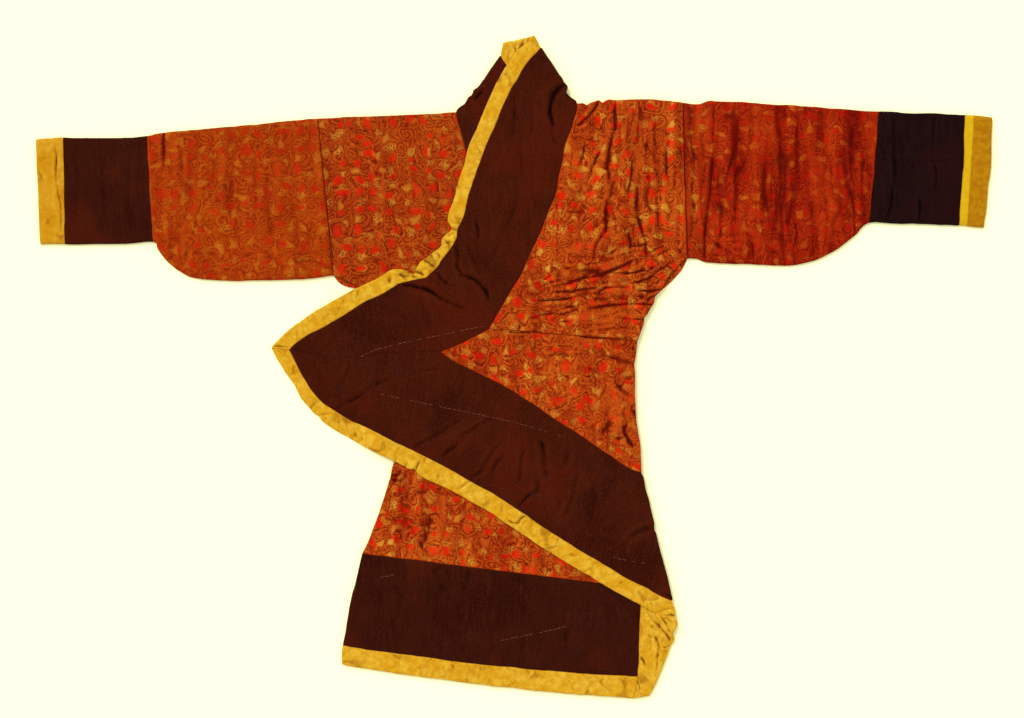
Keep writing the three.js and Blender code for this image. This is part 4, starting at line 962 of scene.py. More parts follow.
class Effects:
    """The shader groups that the finishes share, each built once."""

    def __init__(self) -> None:
        """Builds all of them."""
        self.weave = self._weave()
        self.mottle = self._mottle()
        self.scrolls = self._scrolls()

    def _weave(self) -> bpy.types.NodeTree:
        """Plain weave: the product of two sines, warp and weft, plus a long noise for thicker threads."""
        tree, given, out = new_group("Weave", {"Vector": "vector", "Pitch": "number", "Slubs": "number"},
                                     {"Height": "number"})
        bend = tree.noises(given["Vector"], 60.0, 1.0)
        place = tree.vector("ADD", given["Vector"], tree.scaled(bend, 0.0012))
        parts = tree.node("SeparateXYZ", {0: place})
        turns = tree.math("DIVIDE", 2 * math.pi, given["Pitch"])
        warp = tree.math("SINE", tree.times(parts.outputs[0], turns))
        weft = tree.math("SINE", tree.times(parts.outputs[1], turns))
        slub = tree.stretched(given["Vector"], (320.0, 26.0, 1.0), 2.0)
        threads = tree.times(warp, weft)
        tree.put(out.inputs["Height"], tree.math("MULTIPLY_ADD", slub, given["Slubs"], threads))
        return tree.tree

    def _mottle(self) -> bpy.types.NodeTree:
        """Uneven dye and worn places: large soft patches and fine grain, each a noise, as a mask and a grain.
        """
        tree, given, out = new_group("Mottle", {"Vector": "vector", "Patch": "number", "Grain": "number"},
                                     {"Patches": "number", "Grain": "number"})
        patch = tree.node("TexNoise", {"Vector": given["Vector"], "Scale": given["Patch"], "Detail": 3.0,
                                       "Roughness": 0.6}, noise_dimensions="2D").outputs[0]
        grain = tree.noise(given["Vector"], given["Grain"])
        tree.put(out.inputs["Patches"], tree.between(patch, 0.34, 0.66))
        tree.put(out.inputs["Grain"], tree.between(grain, 0.3, 0.7))
        return tree.tree

    def _motif(self, tree: Tree, place: Socket, spacing: float,
               shift: float) -> tuple[Socket, Socket, Socket, Socket]:
        """One motif's own axes in a loose lattice: how far a point is along and aside of it, its size and its
        chance.

        Args:
            tree: The tree to work in.
            place: Where points are on the cloth, in millimetres.
            spacing: The lattice's spacing.
            shift: What parts this lattice from the others.

        Returns:
            Along, aside, size (0.75 to 1.15), and a chance from 0 to 1 that fades towards the next motif.
        """
        moved = tree.moved(place, shift, shift * 1.7)
        cell = tree.cells(moved, spacing, 0.62)
        border = tree.cells(moved, spacing, 0.62, feature="DISTANCE_TO_EDGE")
        rel = tree.node("SeparateXYZ", {0: tree.vector("SUBTRACT", moved, cell.outputs["Position"])})
        chance = tree.node("SeparateColor", {0: cell.outputs["Color"]})
        x, y = rel.outputs[0], rel.outputs[1]
        turn = tree.times(chance.outputs[0], 2 * math.pi)
        cos, sin = tree.math("COSINE", turn), tree.math("SINE", turn)
        along = tree.math("ADD", tree.times(x, cos), tree.times(y, sin))
        aside = tree.math("SUBTRACT", tree.times(y, cos), tree.times(x, sin))
        clear = tree.between(border.outputs["Distance"], 0.0, 0.17)
        size = tree.math("MULTIPLY_ADD", chance.outputs[2], 0.4, 0.75)
        return along, aside, size, tree.times(chance.outputs[1], clear)

    def _scrolls(self) -> bpy.types.NodeTree:
        """Vine scrolls with leaves and blossoms, soft as old print is.

        Tendrils are contour bands of a bent noise: an orange band between thin dark lines. Curls are spirals:
        bands of the distance from a lattice point over the pitch, plus the share of a turn. A leaf is a bowed
        drop and a blossom a bowed comma with fine dots, each in its own turned axes, with arcs round it.
        """
        tree, given, out = new_group(
            "Scrolls", {"Vector": "vector", "Ground": "colour", "Tendril": "colour", "Outline": "colour",
                        "Leaf": "colour", "Blossom": "colour", "Crisp": "number"}, {"Color": "colour"})
        plain = tree.scaled(given["Vector"], 1000.0)
        sway = tree.vector("SUBTRACT", tree.noises(plain, 0.021, 1.0), (0.5, 0.5, 0.5))
        bent = tree.vector("ADD", plain, tree.scaled(sway, 30.0))
        ripple = tree.vector("SUBTRACT", tree.noises(plain, 0.11, 1.0), (0.5, 0.5, 0.5))
        place = tree.vector("ADD", bent, tree.scaled(ripple, 6.0))
        tone = tree.noise(bent, 0.05, 2.0)
        middling = tree.mix(0.3, given["Ground"], given["Tendril"])
        colour = tree.mix(tree.between(tone, 0.38, 0.68, 0.0, 0.6), given["Ground"], given["Tendril"])
        tendrils = ((0.0165, 1.3, 6.0, 0.0, 0.85), (0.033, 1.5, 4.0, 40.0, 0.6))
        for scale, bends, count, shift, share in tendrils:
            moved = tree.moved(bent, shift, shift)
            band = tree.band(tree.times(tree.noise(moved, scale, 0.7, bends), count))
            breaks = tree.between(tree.noise(moved, 0.07, 1.0), 0.4, 0.58)
            light = tree.times(tree.between(band, 0.08, 0.32, share, 0.0), breaks)
            dark = tree.between(band, 0.34, 0.47, 0.0, 0.85 * share)
            colour = tree.mix(dark, tree.mix(light, colour, given["Tendril"]), given["Outline"])
        for spacing, shift, pitch in ((34.0, 11.0, 8.0), (50.0, 73.0, 9.5)):
            along, aside, size, chance = self._motif(tree, place, spacing, shift)
            spot = tree.node("CombineXYZ", {0: along, 1: aside}).outputs[0]
            away = tree.node("VectorMath", {0: spot}, operation="LENGTH").outputs["Value"]
            turned = tree.math("DIVIDE", tree.math("ARCTAN2", aside, along), 2 * math.pi)
            band = tree.band(tree.math("ADD", tree.math("DIVIDE", away, tree.times(size, pitch)), turned))
            seen = tree.times(tree.between(away, spacing * 0.28, spacing * 0.5, 1.0, 0.0),
                              tree.between(chance, 0.14, 0.34))
            light = tree.times(tree.between(band, 0.06, 0.3, 0.7, 0.0), seen)
            dark = tree.times(tree.between(band, 0.26, 0.47, 0.0, 0.75), seen)
            colour = tree.mix(light, tree.mix(seen, colour, middling), given["Tendril"])
            colour = tree.mix(dark, colour, given["Outline"])
        dots = tree.cells(plain, 6.2, 0.8)
        dot = tree.between(dots.outputs["Distance"], 0.2, 0.36, 0.8, 0.0)
        for spacing, shift, leaf in ((41.0, 0.0, False), (44.0, 31.0, True)):
            along, aside, size, chance = self._motif(tree, place, spacing, shift)
            long, thick, taper, bow = (13.5, 10.0, 0.16, 0.012) if leaf else (15.0, 8.6, 0.36, 0.034)
            bowed = tree.math("SUBTRACT", aside, tree.times(tree.times(along, along), bow))
            width = tree.math("MAXIMUM", tree.math("MULTIPLY_ADD", along, taper, thick), 1.5)
            lengths = tree.math("POWER", tree.math("DIVIDE", along, long), 2.0)
            widths = tree.math("POWER", tree.math("DIVIDE", bowed, width), 2.0)
            away = tree.math("DIVIDE", tree.math("SQRT", tree.math("ADD", lengths, widths)), size)
            present = tree.between(chance, 0.05, 0.2)
            arc = tree.times(tree.between(bowed, -2.0, 4.0), present)
            for middle, half, share, tint in ((1.34, 0.2, 0.75, "Outline"), (1.68, 0.28, 0.75, "Tendril"),
                                              (2.04, 0.18, 0.6, "Outline")):
                near = tree.math("ABSOLUTE", tree.math("SUBTRACT", away, middle))
                drawn = tree.times(tree.between(near, half * 0.3, half, share, 0.0), arc)
                colour = tree.mix(drawn, colour, given[tint])
            body = tree.times(tree.between(away, 0.4, 1.2, 0.95, 0.0), present)
            if leaf:
                inside = given["Leaf"]
            else:
                dotted = tree.times(dot, tree.between(chance, 0.4, 0.6))
                inside = tree.mix(dotted, given["Blossom"], given["Outline"])
            colour = tree.mix(body, colour, inside)
        tree.put(out.inputs["Color"], tree.mix(given["Crisp"], middling, colour))
        return tree.tree


class Finish:
    """A cloth's finish. Each kind of cloth says its slot and how it is painted."""

    slot: str = ""
    name: str = ""
    sheen: float = 0.008
    sheen_tint: Colour = (1.0, 0.6, 0.4)

    def material(self, effects: Effects) -> bpy.types.Material:
        """The cloth's material, made once, from its cloth map in metres, its creases and its rims.

        Args:
            effects: The shared groups.

        Returns:
            The material.
        """
        made = bpy.data.materials.get(self.name)
        if made is None:
            made = bpy.data.materials.new(self.name)
            made.use_nodes = True
            tree = Tree(made.node_tree)
            cloth = tree.node("UVMap", {}, uv_map="Cloth").outputs[0]
            crease, rim = (tree.node("Attribute", {}, attribute_name=label).outputs["Fac"]
                           for label in ("crease", "rim"))
            self.paint(tree, effects, cloth, crease, rim)
        return made

    def paint(self, tree: Tree, effects: Effects, cloth: Socket, crease: Socket, rim: Socket) -> None:
        """Puts the cloth's look into its tree.

        Args:
            tree: The material's tree.
            effects: The shared groups.
            cloth: Where a point lies on the flat cloth, in metres.
            crease: How deep in a fold it is, from -1 on a ridge to 1, for painted shading and highlight.
            rim: How worn it is at the piece's edges, up to 1, and down to -1 at a join seam, for painted
                shading.
        """
        raise NotImplementedError

    def close(self, tree: Tree, colour: Socket, roughness: Socket, height: Socket, rise: float) -> None:
        """Ends a cloth's tree: colour, roughness and bump into a Principled shader.

        Args:
            tree: The material's tree.
            colour: The cloth's colour.
            roughness: Its roughness.
            height: The bump's height, 0 to 1 or so.
            rise: The height in metres that 1 stands for.
        """
        bump = tree.node("Bump", {"Height": height, "Distance": rise, "Strength": 1.0})
        shader = tree.node("BsdfPrincipled", {"Base Color": colour, "Roughness": roughness,
                                              "Normal": bump.outputs[0]})
        shader.inputs["Specular IOR Level"].default_value = 0.015
        shader.inputs["Sheen Weight"].default_value = self.sheen
        shader.inputs["Sheen Roughness"].default_value = 0.45
        shader.inputs["Sheen Tint"].default_value = (*self.sheen_tint, 1.0)
        out = tree.node("OutputMaterial", {})
        tree.put(out.inputs["Surface"], shader.outputs[0])


def paint_fold_shading(tree: Tree, crease: Socket, colour: Socket, flank: Colour, deep: Colour, lit: Colour,
            high: float) -> Socket:
    """A colour with painted shading in the folds and a painted highlight on their ridges.

    Args:
        tree: The material's tree.
        crease: How deep in a fold a point is, from -1 on a ridge to 1.
        colour: The cloth's colour away from folds.
        flank: The painted shading it goes to on their flanks.
        deep: And the darker painted shading along their narrow bottoms.
        lit: And, a little, the painted highlight on the ridges.
        high: How far there.

    Returns:
        The colour.
    """
    flanked = tree.mix(tree.between(crease, 0.14, 0.7, 0.0, 0.55), colour, flank)
    shaded = tree.mix(tree.between(crease, 0.5, 1.0, 0.0, 0.85), flanked, deep)
    return tree.mix(tree.between(crease, -0.6, -0.05, high, 0.0), shaded, lit)


@dataclass(frozen=True)
class PrintedGauze(Finish):
    """Rust gauze printed with vine scrolls."""

    ground: Colour = (0.265, 0.0155, 0.001)
    tendril: Colour = (0.425, 0.066, 0.0045)
    outline: Colour = (0.1, 0.0046, 0.0008)
    leaf: Colour = (0.5, 0.011, 0.0014)
    blossom: Colour = (0.45, 0.14, 0.012)
    # Painted shading on fold flanks and along join seams.
    dark_tone_and_shading: Colour = (0.12, 0.004, 0.0007)
    # Darker painted shading along the bottoms of folds.
    deep: Colour = (0.055, 0.0018, 0.0004)
    plain: Colour = (0.32, 0.028, 0.0016)
    crisp: float = 1.0
    patchy: float = 0.35
    gilt: float = 0.75
    # How strong the painted highlight and shading streaks along the threads are.
    streak_shading: float = 0.5
    fresh_to: float = -9.0              # across the robe, in metres, where a darker cloth still looks fresh
    name: str = "rust_gauze"

    slot = "printed_gauze"

    def paint(self, tree: Tree, effects: Effects, cloth: Socket, crease: Socket, rim: Socket) -> None:
        """Scroll print over mottled rust, plain along the seams, painted dark red shading in folds and at
        joins.
        """
        scrolls = tree.group(effects.scrolls, {
            "Vector": cloth, "Ground": self.ground, "Tendril": self.tendril, "Outline": self.outline,
            "Leaf": self.leaf, "Blossom": self.blossom, "Crisp": self.crisp})
        mottle = tree.group(effects.mottle, {"Vector": cloth, "Patch": 8.0, "Grain": 230.0})
        weave = tree.group(effects.weave, {"Vector": cloth, "Pitch": 0.0016, "Slubs": 0.5})
        worn = tree.tinted(tree.times(mottle.outputs["Patches"], self.patchy), scrolls.outputs["Color"],
                           (0.9, 0.6, 0.6))
        broad = tree.noise(tree.moved(cloth, 1.9, 4.3), 9.0, 2.0, 0.4)
        gilded = tree.tinted(tree.between(broad, 0.48, 0.68, 0.0, self.gilt), worn, (1.15, 1.5, 1.5))
        # Painted highlight and painted shading: soft lighter and darker streaks along the threads, for the
        # light on shallow folds.
        fold_streaks = tree.stretched(cloth, (34.0, 4.5, 1.0), 3.0, 0.5)
        streak_highlit = tree.tinted(tree.between(fold_streaks, 0.5, 0.68, 0.0, self.streak_shading), gilded, (1.3, 1.8, 2.0))
        streak_shaded = tree.tinted(tree.between(fold_streaks, 0.34, 0.49, self.streak_shading, 0.0), streak_highlit, (0.55, 0.3, 0.5))
        across = tree.node("SeparateXYZ", {0: tree.node("TexCoord", {}).outputs["Object"]}).outputs[0]
        kept = tree.between(across, self.fresh_to - 0.02, self.fresh_to + 0.03, 0.75, 0.0)
        fresh = tree.tinted(kept, streak_shaded, (1.15, 2.3, 2.0))
        grained = tree.mix(tree.times(mottle.outputs["Grain"], 0.22), fresh, self.outline)
        fine = tree.noise(tree.moved(cloth, 0.7, 0.3), 400.0, 2.0, 0.6)
        glinting = tree.tinted(tree.between(fine, 0.53, 0.72, 0.0, 0.5), grained, (1.25, 2.2, 2.0))
        pitted = tree.tinted(tree.between(fine, 0.3, 0.47, 0.5, 0.0), glinting, (0.62, 0.35, 0.5))
        # Painted shading on fold flanks and bottoms, and a painted highlight of tendril colour on ridges.
        folded = paint_fold_shading(tree, crease, pitted, self.dark_tone_and_shading, self.deep, self.tendril, 0.35)
        edged = tree.mix(tree.between(rim, 0.15, 0.8, 0.0, 0.6), folded, self.plain)
        # Painted shading along join seams, where the rim mark is negative.
        seam_shaded = tree.mix(tree.between(rim, -1.0, -0.5, 0.7, 0.0), edged, self.dark_tone_and_shading)
        rough = tree.between(mottle.outputs["Patches"], 0.0, 1.0, 0.82, 0.66)
        crinkle = tree.noise(cloth, 95.0, 3.0, 0.6)
        height = tree.math("MULTIPLY_ADD", crinkle, 9.0, weave.outputs["Height"])
        self.close(tree, seam_shaded, rough, height, 0.00013)


@dataclass(frozen=True)
class BrownSilk(Finish):
    """Deep red-brown silk, faintly streaked along its threads, redder and darker in patches."""

    base: Colour = (0.0335, 0.0042, 0.001)
    # Paler streaks, flecks and worn rims, and a painted highlight on fold ridges.
    light: Colour = (0.06, 0.0086, 0.0019)
    red: Colour = (0.058, 0.0048, 0.0007)
    bloom: Colour = (0.026, 0.0062, 0.0052)
    # Dark patches and flecks, and painted shading on fold flanks.
    dark_tone_and_shading: Colour = (0.014, 0.0012, 0.0003)
    # Painted shading along the bottoms of folds.
    deep: Colour = (0.0035, 0.0005, 0.0003)
    name: str = "red_brown_silk"

    slot = "brown_silk"

    def paint(self, tree: Tree, effects: Effects, cloth: Socket, crease: Socket, rim: Socket) -> None:
        """Broken streaks along the threads over soft patches, with fine flecks where it has rubbed."""
        mottle = tree.group(effects.mottle, {"Vector": cloth, "Patch": 11.0, "Grain": 300.0})
        weave = tree.group(effects.weave, {"Vector": cloth, "Pitch": 0.0022, "Slubs": 1.2})
        streak = tree.stretched(cloth, (150.0, 22.0, 1.0), 4.0, 0.8)
        patches = mottle.outputs["Patches"]
        amount = tree.times(tree.between(streak, 0.34, 0.78), tree.between(patches, 0.0, 1.0, 0.15, 0.55))
        broad = tree.noise(tree.moved(cloth, 5.3, 2.9), 5.0, 3.0, 0.4)
        reddish = tree.mix(tree.between(broad, 0.5, 0.68, 0.0, 0.75), self.base, self.red)
        dark = tree.mix(tree.between(broad, 0.34, 0.47, 0.6, 0.0), reddish, self.dark_tone_and_shading)
        scuffs = tree.times(tree.between(tree.noise(cloth, 38.0, 4.0, 1.2), 0.55, 0.7),
                            tree.between(tree.noise(cloth, 4.2, 1.0), 0.55, 0.66))
        bloomed = tree.mix(tree.times(scuffs, 0.8), dark, self.bloom)
        streaked = tree.mix(amount, bloomed, self.light)
        flecked = tree.mix(tree.between(mottle.outputs["Grain"], 0.55, 1.0, 0.0, 0.6), streaked, self.light)
        flecked = tree.mix(tree.between(mottle.outputs["Grain"], 0.0, 0.4, 0.45, 0.0), flecked, self.dark_tone_and_shading)
        # Painted shading on fold flanks and bottoms, and a painted highlight on ridges.
        folded = paint_fold_shading(tree, crease, flecked, self.dark_tone_and_shading, self.deep, self.light, 0.35)
        worn = tree.mix(tree.between(rim, 0.3, 1.0, 0.0, 0.35), folded, self.light)
        rough = tree.between(streak, 0.3, 0.7, 0.8, 0.62)
        crinkle = tree.noise(cloth, 70.0, 3.0, 0.4)
        height = tree.math("MULTIPLY_ADD", crinkle, 7.0, weave.outputs["Height"])
        self.close(tree, worn, rough, height, 0.00014)


@dataclass(frozen=True)
class OchreSilk(Finish):
    """Ochre silk, stained and rubbed."""

    base: Colour = (0.54, 0.283, 0.0105)
    # Pale patches and the rubbed strip, and a painted highlight on fold ridges.
    light: Colour = (0.6, 0.37, 0.03)
    stain: Colour = (0.41, 0.175, 0.003)
    # Dark spots and soiled patches, and painted shading on fold flanks.
    dirt_and_shading: Colour = (0.21, 0.06, 0.0015)
    # Painted shading along the bottoms of folds.
    deep: Colour = (0.13, 0.036, 0.0008)
    dull_beyond: float = 9.0            # across the robe, in metres, where the dull part begins
    rubbed: float = 0.0                 # how pale the rest is
    slant: float = -0.06                # of the line between them
    name: str = "rubbed_ochre"

    slot = "ochre_silk"

    def paint(self, tree: Tree, effects: Effects, cloth: Socket, crease: Socket, rim: Socket) -> None:
        """Soft stains and pale rubbed patches, browner along the edge, with painted brown shading in the
        folds.
        """
        mottle = tree.group(effects.mottle, {"Vector": cloth, "Patch": 24.0, "Grain": 260.0})
        apart = tree.moved(cloth, 3.1, 1.7)
        fine = tree.group(effects.mottle, {"Vector": apart, "Patch": 70.0, "Grain": 420.0})
        weave = tree.group(effects.weave, {"Vector": cloth, "Pitch": 0.0018, "Slubs": 0.8})
        pale = tree.mix(tree.times(mottle.outputs["Patches"], 0.85), self.base, self.light)
        stained = tree.mix(tree.times(fine.outputs["Patches"], 0.6), pale, self.stain)
        flecked = tree.mix(tree.times(mottle.outputs["Grain"], 0.35), stained, self.stain)
        spots = tree.between(tree.noise(apart, 30.0, 3.0, 0.6), 0.57, 0.74, 0.0, 0.6)
        spotted = tree.mix(spots, flecked, self.dirt_and_shading)
        place = tree.node("SeparateXYZ", {0: tree.node("TexCoord", {}).outputs["Object"]})
        level = tree.math("MULTIPLY_ADD", place.outputs[1], self.slant, place.outputs[0])
        past = tree.between(level, self.dull_beyond - 0.002, self.dull_beyond + 0.003)
        strip = tree.mix(self.rubbed, spotted, self.light)
        worn = tree.mix(tree.between(fine.outputs["Patches"], 0.2, 0.9, 0.15, 0.6), spotted, self.dirt_and_shading)
        dull = tree.mix(0.7, worn, self.stain)
        dulled = tree.mix(past, strip, dull)
        # Painted shading on fold flanks and bottoms, and a painted highlight on ridges.
        folded = paint_fold_shading(tree, crease, dulled, self.dirt_and_shading, self.deep, self.light, 0.3)
        edged = tree.mix(tree.between(rim, 0.25, 1.0, 0.0, 0.45), folded, self.stain)
        rough = tree.between(mottle.outputs["Patches"], 0.0, 1.0, 0.7, 0.84)
        crinkle = tree.noise(cloth, 80.0, 3.0, 0.3)
        height = tree.math("MULTIPLY_ADD", crinkle, 8.0, weave.outputs["Height"])
        self.close(tree, edged, rough, height, 0.00013)


@dataclass(frozen=True)
class Thread(Finish):
    """Faded tacking thread."""

    colour: Colour = (0.2, 0.085, 0.06)
    dark: Colour = (0.09, 0.03, 0.02)
    name: str = "tacking_thread"

    slot = "ochre_silk"

    def paint(self, tree: Tree, effects: Effects, cloth: Socket, crease: Socket, rim: Socket) -> None:
        """Pale, darker in places."""
        mottle = tree.group(effects.mottle, {"Vector": cloth, "Patch": 40.0, "Grain": 900.0})
        colour = tree.mix(tree.times(mottle.outputs["Patches"], 0.7), self.colour, self.dark)
        rough = tree.between(mottle.outputs["Grain"], 0.0, 1.0, 0.8, 0.9)
        self.close(tree, colour, rough, mottle.outputs["Grain"], 0.0001)


GAUZE = PrintedGauze()
SLEEVE_GAUZE = PrintedGauze(
    ground=(0.25, 0.016, 0.0009), tendril=(0.38, 0.057, 0.0022), outline=(0.095, 0.0046, 0.0006),
    leaf=(0.37, 0.0095, 0.0013), blossom=(0.39, 0.105, 0.006), crisp=0.72, gilt=0.3, streak_shading=0.25,
    name="rust_gauze_smooth")
DEEP_GAUZE = PrintedGauze(
    ground=(0.19, 0.0048, 0.0007), tendril=(0.33, 0.023, 0.0018), outline=(0.08, 0.0016, 0.0005),
    # Painted shading colours for its folds and join seams end this line and start the next.
    leaf=(0.33, 0.0055, 0.001), blossom=(0.37, 0.062, 0.004), dark_tone_and_shading=(0.095, 0.0018, 0.0005),
    deep=(0.068, 0.0017, 0.0005), plain=(0.24, 0.01, 0.0008), crisp=0.75, patchy=0.6, gilt=0.3, streak_shading=0.9,
    fresh_to=0.455, name="rust_gauze_deep")
INNER_GAUZE = PrintedGauze(
    ground=(0.23, 0.0132, 0.0009), tendril=(0.365, 0.056, 0.0038), leaf=(0.46, 0.01, 0.0012),
    blossom=(0.395, 0.12, 0.01), plain=(0.275, 0.024, 0.0014), gilt=0.4, streak_shading=0.25,
    name="rust_gauze_inner")
BROWN = BrownSilk()
DARK_BROWN = BrownSilk(
    base=(0.0245, 0.0036, 0.0012), light=(0.045, 0.0068, 0.0023), red=(0.052, 0.0056, 0.001),
    name="dark_brown_silk")
BLACK_BROWN = BrownSilk(
    base=(0.0078, 0.0022, 0.0021), light=(0.0165, 0.0036, 0.0034), red=(0.0155, 0.0022, 0.002),
    # After bloom: dark patches, flecks and painted fold shading, then painted shading along fold bottoms.
    bloom=(0.01, 0.003, 0.0034), dark_tone_and_shading=(0.004, 0.0011, 0.001), deep=(0.0015, 0.0005, 0.0005),
    name="black_brown_silk")
OCHRE = OchreSilk()
RIGHT_OCHRE = OchreSilk(base=(0.43, 0.195, 0.0045), light=(0.52, 0.285, 0.02), name="worn_ochre")
LEFT_OCHRE = OchreSilk(
    base=(0.5, 0.29, 0.006), light=(0.52, 0.33, 0.006), stain=(0.31, 0.122, 0.0016), dull_beyond=1.087,
    rubbed=0.65, name="dull_ochre")


# ---- Pieces ----
@dataclass(frozen=True)
class Piece:
    """One cut and sewn piece."""

    name: str
    finish: Finish
    left: Line
    right: Line
    relief: Relief = TOP
    bed: Bed = Bed.INNER
    edges: tuple[Edge, Edge, Edge, Edge] = (Edge.SEAM, Edge.SEAM, Edge.SEAM, Edge.SEAM)
    bow: tuple[float, ...] = ()
    cell: float = CELL
    rests_on: tuple[str, ...] = ()
    grain: float = 0.0                  # turn of the cloth's threads, in degrees

    def bows(self) -> Array:
        """The rows' bows at the fine points."""
        count = len(self.left.points)
        if not self.bow:
            return np.zeros(count)
        return np.interp(np.linspace(0, 1, count), np.linspace(0, 1, len(self.bow)), self.bow)

    def cloth_map(self, x: Array, y: Array) -> Array:
        """Where points lie on the piece's own flat cloth: turned by the grain, set apart from other pieces.

        Args:
            x: Across the robe.
            y: Along it.

        Returns:
            Two numbers for each point, in millimetres.
        """
        turn = math.radians(self.grain)
        apart = CLOTH_STEP * (sum(map(ord, self.name)) % CLOTH_STEPS)
        return np.stack([x * math.cos(turn) + y * math.sin(turn) + apart,
                         y * math.cos(turn) - x * math.sin(turn) - apart], axis=-1)

    def dress(self, obj: Object, effects: Effects, layers: int = 1) -> Object:
        """Gives a made piece its cloth and its body, and hides the imported part of the same name.

        Args:
            obj: The piece's object.
            effects: The shared groups.
            layers: How many layers of the cut it has: 2 for a tube. Not used.

        Returns:
            The object.
        """
        obj.data.materials.append(self.finish.material(effects))
        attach(obj, "root")
        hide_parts(self.name)
        return obj

    def build(self, effects: Effects) -> Object:
        """A padded wall: half its height above and below its middle, rolled at its edges, with the layer's
        relief on top. Top = bed + wall / 2 * (1 + rolls) + relief, underside = bed + wall / 2 * (1 - rolls).

        Args:
            effects: The shared groups.

        Returns:
            The dressed piece.
        """
        grid = plan(self.left, self.right, self.bows(), self.cell)
        x, y = wander(grid.x, grid.y)
        bed = self.bed.height(x, y)
        crown = grid.rolled(self.edges, False)
        raise_by = self.relief.height(x, y)
        deep = np.maximum(raise_by, THINNEST - WALL * crown)
        top = bed + WALL / 2 * (1 + crown) + deep * (EDGE_RELIEF + INNER_RELIEF * crown)
        below = bed + WALL / 2 * (1 - grid.rolled(self.edges, True))
        upper, lower = np.stack([x, y, top], -1), np.stack([x, y, below], -1)
        return self.dress(self.skin(upper, lower, raise_by, grid.wear_and_seam_shading(self.edges)), effects)

    def skin(self, outer: Array, inner: Array, raise_by: Array, wear_and_seam_shading: Array,
             tube: bool = False) -> Object:
        """The mesh between two worked-out surfaces.

        Args:
            outer: Points of the surface that shows, rows by columns by 3.
            inner: Points of the hidden one.
            raise_by: The relief of each point that shows.
            wear_and_seam_shading: How worn its rim is, and, where it is negative, the painted shading along a
                join seam.
            tube: Whether each row is a ring.

        Returns:
            The object.
        """
        points, faces, kept = closed_shell(outer, inner, tube)
        # crease is where the finishes paint fold shading and ridge highlights; a negative rim, shading along
        # a join seam
        crease, rim = np.clip(-raise_by / DEEPEST, -1, 1).ravel(), wear_and_seam_shading.ravel()
        cloth = self.cloth_map(outer[..., 0], outer[..., 1]).reshape(-1, 2)
        return make_mesh(f"cloth_{self.name}", points, faces, np.vstack([cloth, cloth[kept]]),
                         crease=np.concatenate([crease, np.zeros(kept.sum())]),
                         rim=np.concatenate([rim, rim[kept]]))


@dataclass(frozen=True)
class Tube(Piece):
    """A flattened sleeve part: one wall folded along its upper and its lower edge, with a slit between."""

    def build(self, effects: Effects) -> Object:
        """Rings of the outer face, round the front and back, joined at both mouths to rings of the slit.
        Front = middle + half height * rolls + relief, back = middle - half height * rolls.

        Args:
            effects: The shared groups.

        Returns:
            The dressed piece.
        """
        grid = plan(self.left, self.right, self.bows(), self.cell)
        x, y = wander(grid.x, grid.y)
        middle = TUBE_HEIGHT / 2
        from_left, from_right, from_first, from_last = grid.edges
        sides = TUBE_FOLD.share(from_left - SEAM_INSET) * TUBE_FOLD.share(from_right - SEAM_INSET)
        ends = self.edges[2].value.share(from_first) * self.edges[3].value.share(from_last)
        raise_by = self.relief.height(x, y)
        crown = sides * (MOUTH_HEIGHT + TUBE_SWELL * ends)
        front = middle + middle * crown + np.maximum(raise_by, THINNEST - middle * crown) * crown
        back = middle - middle * sides
        width = (from_left + from_right)[:, :1]
        into = np.clip(WALL + (from_left - SEAM_INSET) * (1 - 2 * WALL / width), 0, None) / width
        slit_x, slit_y = (line[:, :1] + (line[:, -1:] - line[:, :1]) * into for line in (x, y))
        slit = SLIT * np.minimum(sides, 1)

        def ring(over: Array, under: Array) -> Array:
            """Values across the front of each row, then back across its underside."""
            return np.hstack([over, under[:, -2:0:-1]])

        outer = np.stack([ring(x, x), ring(y, y), ring(front, back)], -1)
        inner = np.stack([ring(slit_x, slit_x), ring(slit_y, slit_y), ring(middle + slit, middle - slit)], -1)
        wear_and_seam_shading = grid.wear_and_seam_shading(self.edges)
        obj = self.skin(outer, inner, ring(raise_by, np.zeros_like(raise_by)), ring(wear_and_seam_shading, wear_and_seam_shading), tube=True)
        return self.dress(obj, effects, layers=2)


S, F, J = Edge.SEAM, Edge.FREE, Edge.JOIN


@dataclass(frozen=True)
class Back:
    """The back of the robe, on the floor."""

    cell: float = HIDDEN_CELL

    def pieces(self) -> list[Piece]:
        """Upper back in two widths, lower back with hem, and the collar's back at the neck."""
        right, middle, left = (Line.through(rows) for rows in (BACK_RIGHT_SIDE, BACK_SEAM, BACK_LEFT_SIDE))
        sides, neck = lines(SKIRT_BACK), lines(COLLAR_BACK)
        bow = tuple(row[4] for row in SKIRT_BACK)
        top, seam = BACK_HEM_TOP, BACK_HEM_SEAM
        floor = dict(bed=Bed.FLOOR, relief=FLAT)
        wide = dict(cell=self.cell, **floor)
        gathered = Relief([(25, 806, 10, 765, 2, 4.6, 7), (6, 800, 0, 770, 0, 3.4, 5),
                           (38, 808, 30, 775, 0, 3.0, 5)], [(15, 790, 40, 80, 24, 8, 1.2)], 540)
        return [
            Piece("back_right", GAUZE, right, middle, edges=(F, S, S, S), **wide),
            Piece("back_left", GAUZE, middle, left, edges=(S, F, S, S), **wide),
            Piece("skirt_back", GAUZE, *span(sides, 0, top), edges=(F, F, S, S), bow=bow[:top + 1], **wide),
            Piece("hem_border_back", BROWN, *span(sides, top, seam), edges=(F, F, S, S),
                  bow=bow[top:seam + 1], **wide),
            Piece("hem_edging_back", OCHRE, *span(sides, seam, BACK_END), edges=(F, F, S, F), bow=bow[seam:],
                  **wide),
            Piece("collar_back", BROWN, *span(neck, NECK_SEAM, NECK_END), edges=(F, F, S, S), **floor),
            Piece("neck_edging_back", OCHRE, *span(neck, 0, NECK_SEAM), edges=(F, F, F, S), bed=Bed.FLOOR,
                  relief=gathered),
        ]


